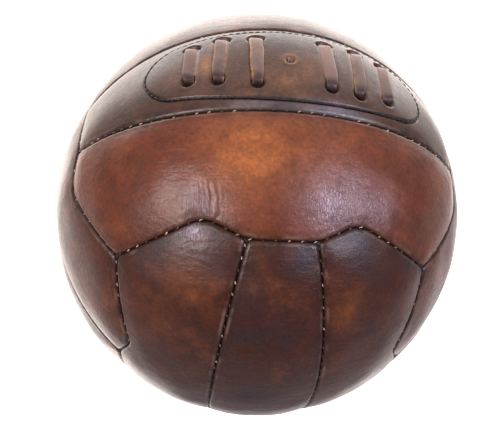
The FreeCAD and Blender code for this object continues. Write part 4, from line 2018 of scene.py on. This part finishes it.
PLEATS = (
    Pleats("top_front_panel", (-0.325, -0.625), 5.0 * MM, 1.9 * MM, 0.36 * MM),
    Pleats("top_front_panel", (0.20, -0.62), 9 * MM, 1.9 * MM, 0.08 * MM, 0.3),
    Pleats("front_left_panel", (1.20, -0.50), 8 * MM, 2.1 * MM, 0.07 * MM),
)
TONES = {
    "top_front_panel": Tone(0.15, 0.80),
    "top_lacing_panel": Tone(0.5, 0.15),
    "top_back_panel": Tone(0.4, 0.2),
    "front_left_panel": Tone(0.5, 0.10),
    "front_middle_panel": Tone(0.6, -0.16),
    "front_right_panel": Tone(0.5, 0.0),
}
USUAL_TONE = Tone(0.5, 0.2)

# The panel with the sharpest folds has a finer grid than the others, in columns and rows.
FINE_GRIDS = {"top_front_panel": (430, 90)}

# The finishes of the CAD nodes that are carried over, by the record's material slots.
INNER_FINISHES = (
    InnerFinish("lining_cotton", (0.62, 0.55, 0.42), (0.74, 0.68, 0.55), 900.0, 0.85, 0.2 * MM),
    InnerFinish("patch_leather", (0.26, 0.15, 0.09), (0.38, 0.24, 0.15), 300.0, 0.75, 0.2 * MM),
    InnerFinish("bladder_rubber", (0.035, 0.033, 0.033), (0.06, 0.055, 0.05), 120.0, 0.5, 0.1 * MM),
    InnerFinish("valve_rubber", (0.02, 0.02, 0.02), (0.04, 0.038, 0.036), 300.0, 0.45, 0.1 * MM),
)


# ---------------------------------------------------------------- the whole ball


class Football:
    """The ball: its panels, lacing and stitching, and the finishes of the pieces inside."""

    def __init__(self) -> None:
        """Lays out the seams, and the eighteen panels between them."""
        self.layout = Layout()
        places = [(face, strip) for face in FACES.values() for strip in Strip]
        self.panels = [self._panel(face, strip) for face, strip in places]

    def _panel(self, face: Face, strip: Strip) -> LeatherPanel:
        """One panel, in its own shade and on its own grid.

        Args:
            face: the face that it is on.
            strip: which of the face's strips it is.

        Returns:
            The panel, not yet built.
        """
        laced = face.name == "top" and strip is Strip.MIDDLE
        kind = LacingPanel if laced else LeatherPanel
        panel = kind(face, strip, self.layout.outline(face, strip), USUAL_TONE)
        panel.tone = TONES.get(panel.node, USUAL_TONE)
        panel.columns, panel.rows = FINE_GRIDS.get(panel.node, (panel.columns, panel.rows))
        return panel

    def build_panels(self) -> None:
        """Makes the eighteen leather panels."""
        leather = AgedLeather("panel_leather").build()
        lacing_leather = AgedLeather(
            "lacing_panel_leather",
            deep=(0.050, 0.026, 0.018),
            red=(0.150, 0.058, 0.036),
            ochre=(0.38, 0.160, 0.06),
            lines=0.03 * MM,
            lumps=0.07 * MM,
            lacing=True,
        ).build()
        for panel in self.panels:
            panel.build(lacing_leather if isinstance(panel, LacingPanel) else leather)

    def build_lacing(self) -> None:
        """Makes the two thongs and the stitching of the patch."""
        leather = LaceLeather().build()
        Lace("left_lace", LEFT_BARS).build(leather)
        Lace("right_lace", RIGHT_BARS).build(leather)
        black = WaxedThread("patch_thread", (0.03, 0.024, 0.024), (0.012, 0.009, 0.009), 0.5)
        laced = next(panel for panel in self.panels if isinstance(panel, LacingPanel))
        PatchStitching(laced).build(black.build())

    def build_stitching(self) -> None:
        """Makes the stitches of every seam."""
        linen = WaxedThread("seam_thread", (0.56, 0.38, 0.27), (0.07, 0.035, 0.022))
        SeamStitching().build(self.layout.seams(), linen.build())

    def dress_inside(self) -> None:
        """Gives each CAD node that is carried over its own finish."""
        built = {finish.name: finish.build() for finish in INNER_FINISHES}
        for subpart in frame["record"]["subparts"]:
            material = built.get(subpart["material_slot"])
            if material is not None:
                mesh = frame["nodes"][subpart["node"]].data
                mesh.materials.clear()
                mesh.materials.append(material)
                LOG.info("%s: %s", subpart["node"], material.name)


@dataclass(frozen=True)
class Lamp:
    """A soft box that points at the ball from an azimuth and an elevation in degrees."""

    name: str
    azimuth: float
    elevation: float
    distance: float
    size: tuple[float, float]
    power: float
    colour: Colour = (1.0, 1.0, 1.0)

    def build(self) -> None:
        """Places the lamp. Azimuth 0 is in front of the ball, and 90 is to its right."""
        data = bpy.data.lights.new(self.name, "AREA")
        data.shape = "RECTANGLE"
        data.size, data.size_y = self.size
        data.energy = self.power
        data.color = self.colour
        lamp = bpy.data.objects.new(self.name, data)
        bpy.context.scene.collection.objects.link(lamp)
        way = outwards(self.azimuth, self.elevation)
        lamp.location = way * self.distance
        lamp.rotation_mode = "QUATERNION"
        lamp.rotation_quaternion = way.to_track_quat("Z", "Y")
        lamp.visible_camera = False


def outwards(azimuth: float, elevation: float) -> Vector:
    """The direction out of the ball at an azimuth and an elevation.

    Args:
        azimuth: degrees round from the front, towards the ball's right.
        elevation: degrees above the level.

    Returns:
        A vector of length one.
    """
    turned, raised = math.radians(azimuth), math.radians(elevation)
    level = math.cos(raised)
    return Vector((math.sin(turned) * level, -math.cos(turned) * level, math.sin(raised)))


@dataclass(frozen=True)
class Studio:
    """A pale floor, a white surround, soft lamps and the camera.

    The camera's distance and aim are counted in the ball's radius.
    """

    floor_half: float = 3.0
    floor_glow: float = 3.4
    floor_rim: float = 0.2
    floor_shown: float = 1.3
    floor_shade: float = 0.05
    floor_pale: tuple[Colour, Colour] = ((0.95, 0.87, 0.80), (0.95, 0.89, 0.83))
    # Painted shade on the floor in front of the ball, which only the ball's reflections see.
    floor_front_shade: Colour = (0.36, 0.345, 0.335)
    wall: float = 1.15
    wall_colour: Colour = (1.0, 0.95, 0.92)
    front: float = 0.07
    overhead: float = 0.32
    horizon: float = 5.6
    camera_azimuth: float = -9.8
    camera_elevation: float = 54.9
    camera_distance: float = 2.379
    aim: Colour = (-0.055, -0.185, -0.098)
    roll: float = 9.7
    sensor: float = 36.0
    lens_per_width: float = 0.8654
    shift: tuple[float, float] = (0.014, 0.085)

    def build(self) -> None:
        """Makes everything round the ball."""
        self._world()
        self._floor()
        for lamp in (
            Lamp("left_softbox", -56.0, 44.0, 0.9, (0.40, 0.40), 6.5, (1.0, 0.94, 0.94)),
            Lamp("right_softbox", 57.0, 47.0, 0.9, (0.34, 0.34), 6.2, (0.80, 0.80, 1.0)),
            Lamp("back_softbox", 180.0, 50.0, 1.6, (2.4, 1.2), 9.0, (1.0, 0.92, 0.87)),
        ):
            lamp.build()
        self._camera()

    def _world(self) -> None:
        """A surround that lights the ball dimly from in front and brightly from low behind.

        What the camera itself sees of it is an even, pale wall.
        """
        world = bpy.data.worlds.new("surround")
        world.use_nodes = True
        tree = world.node_tree
        background = tree.nodes["Background"]
        place = tree.nodes.new("ShaderNodeTexCoord").outputs["Generated"]
        split = tree.nodes.new("ShaderNodeSeparateXYZ")
        tree.links.new(place, split.inputs[0])
        low_down = ramp(tree, 0.45, 0.05, self.overhead, self.horizon)
        tree.links.new(split.outputs["Z"], low_down.inputs["Value"])
        behind = ramp(tree, 0.40, 0.95, self.front, self.horizon)
        tree.links.new(split.outputs["Y"], behind.inputs["Value"])
        tree.links.new(low_down.outputs["Result"], behind.inputs["To Max"])
        seen = tree.nodes.new("ShaderNodeMix")
        light_path = tree.nodes.new("ShaderNodeLightPath")
        tree.links.new(light_path.outputs["Is Camera Ray"], seen.inputs["Factor"])
        tree.links.new(behind.outputs["Result"], seen.inputs["A"])
        seen.inputs["B"].default_value = self.wall
        tree.links.new(seen.outputs["Result"], background.inputs["Strength"])
        background.inputs["Color"].default_value = (*self.wall_colour, 1.0)
        bpy.context.scene.world = world
        bpy.context.scene.view_settings.view_transform = "Standard"

    def _floor(self) -> None:
        """A flat pale floor that touches the ball at its lowest point.

        It looks even and pale, with a painted contact shadow under the ball, and throws light up at
        the ball from behind and beside it.
        """
        half, level = self.floor_half, -BALL_RADIUS
        corners = [(x * half, y * half, level) for x, y in ((-1, -1), (1, -1), (1, 1), (-1, 1))]
        mesh = bpy.data.meshes.new("floor")
        mesh.from_pydata(corners, [], [(0, 1, 2, 3)])
        mesh.materials.append(self._floor_finish())
        floor = bpy.data.objects.new("floor", mesh)
        bpy.context.scene.collection.objects.link(floor)

    def _floor_finish(self) -> bpy.types.Material:
        """The floor's material, which glows where it should throw light at the ball.

        The light comes from a wedge that opens backwards from the ball, and none of it from
        the ball's own spot. In front of the ball the floor is a dull grey, a painted shade that
        only the ball's reflections see. The camera itself sees an even glow that fades under the
        ball into a painted contact shadow.

        Returns:
            The material.
        """
        book = NodeBook("pale_floor")
        tint = book.mix(book.noise(3.0, 2.0), *self.floor_pale)
        split = book.tree.nodes.new("ShaderNodeSeparateXYZ")
        book.feed(split.inputs[0], book.place)
        x, y = split.outputs["X"], split.outputs["Y"]
        aside = book.calc("ABSOLUTE", book.calc("ADD", x, 0.005))
        aside = book.calc("SUBTRACT", aside, book.calc("MULTIPLY", y, 0.8))
        square = book.calc("ADD", book.calc("POWER", x, 2.0), book.calc("POWER", y, 2.0))
        reach = book.calc("SQRT", square)
        seen = book.tree.nodes.new("ShaderNodeLightPath").outputs["Is Camera Ray"]
        behind = book.span(y, -0.125, -0.095)
        # Painted shade: the floor is grey in front of the ball, except to the camera.
        colour = book.mix(book.calc("MAXIMUM", behind, seen), self.floor_front_shade, tint)
        glow = book.span(aside, 0.245, 0.190, self.floor_rim, self.floor_glow)
        glow = book.calc("MULTIPLY", glow, behind)
        glow = book.calc("MULTIPLY", glow, book.span(reach, 0.06, 0.09))
        glow = book.calc("MULTIPLY", glow, book.calc("SUBTRACT", 1.0, seen))
        # Painted contact shadow: the glow that the camera sees fades under the ball.
        shown = book.span(reach, 0.03, 0.095, self.floor_shade, self.floor_shown)
        glow = book.calc("ADD", glow, book.calc("MULTIPLY", shown, seen))
        book.give({"Base Color": colour, "Roughness": 0.7})
        book.give({"Emission Color": tint, "Emission Strength": glow})
        return book.material

    def _camera(self) -> None:
        """The camera, turned about its own line of sight by the roll."""
        data = bpy.data.cameras.new("camera")
        data.sensor_width = self.sensor
        data.lens = self.sensor * self.lens_per_width
        data.shift_x, data.shift_y = self.shift
        data.clip_start, data.clip_end = 0.01, 50.0
        camera = bpy.data.objects.new("camera", data)
        bpy.context.scene.collection.objects.link(camera)
        stand = outwards(self.camera_azimuth, self.camera_elevation)
        stand = stand * self.camera_distance * BALL_RADIUS
        sight = Vector(self.aim) * BALL_RADIUS - stand
        turned = sight.to_track_quat("-Z", "Y").to_matrix().to_4x4()
        turned = turned @ Matrix.Rotation(math.radians(self.roll), 4, "Z")
        camera.matrix_world = Matrix.Translation(stand) @ turned
        bpy.context.scene.camera = camera


def main() -> None:
    """Builds the ball piece by piece, then its surroundings."""
    logging.basicConfig(level=logging.INFO, format="%(name)s: %(message)s")
    ball = Football()
    ball.build_panels()
    ball.build_lacing()
    ball.build_stitching()
    ball.dress_inside()
    Studio().build()


if __name__ == "__main__":
    main()
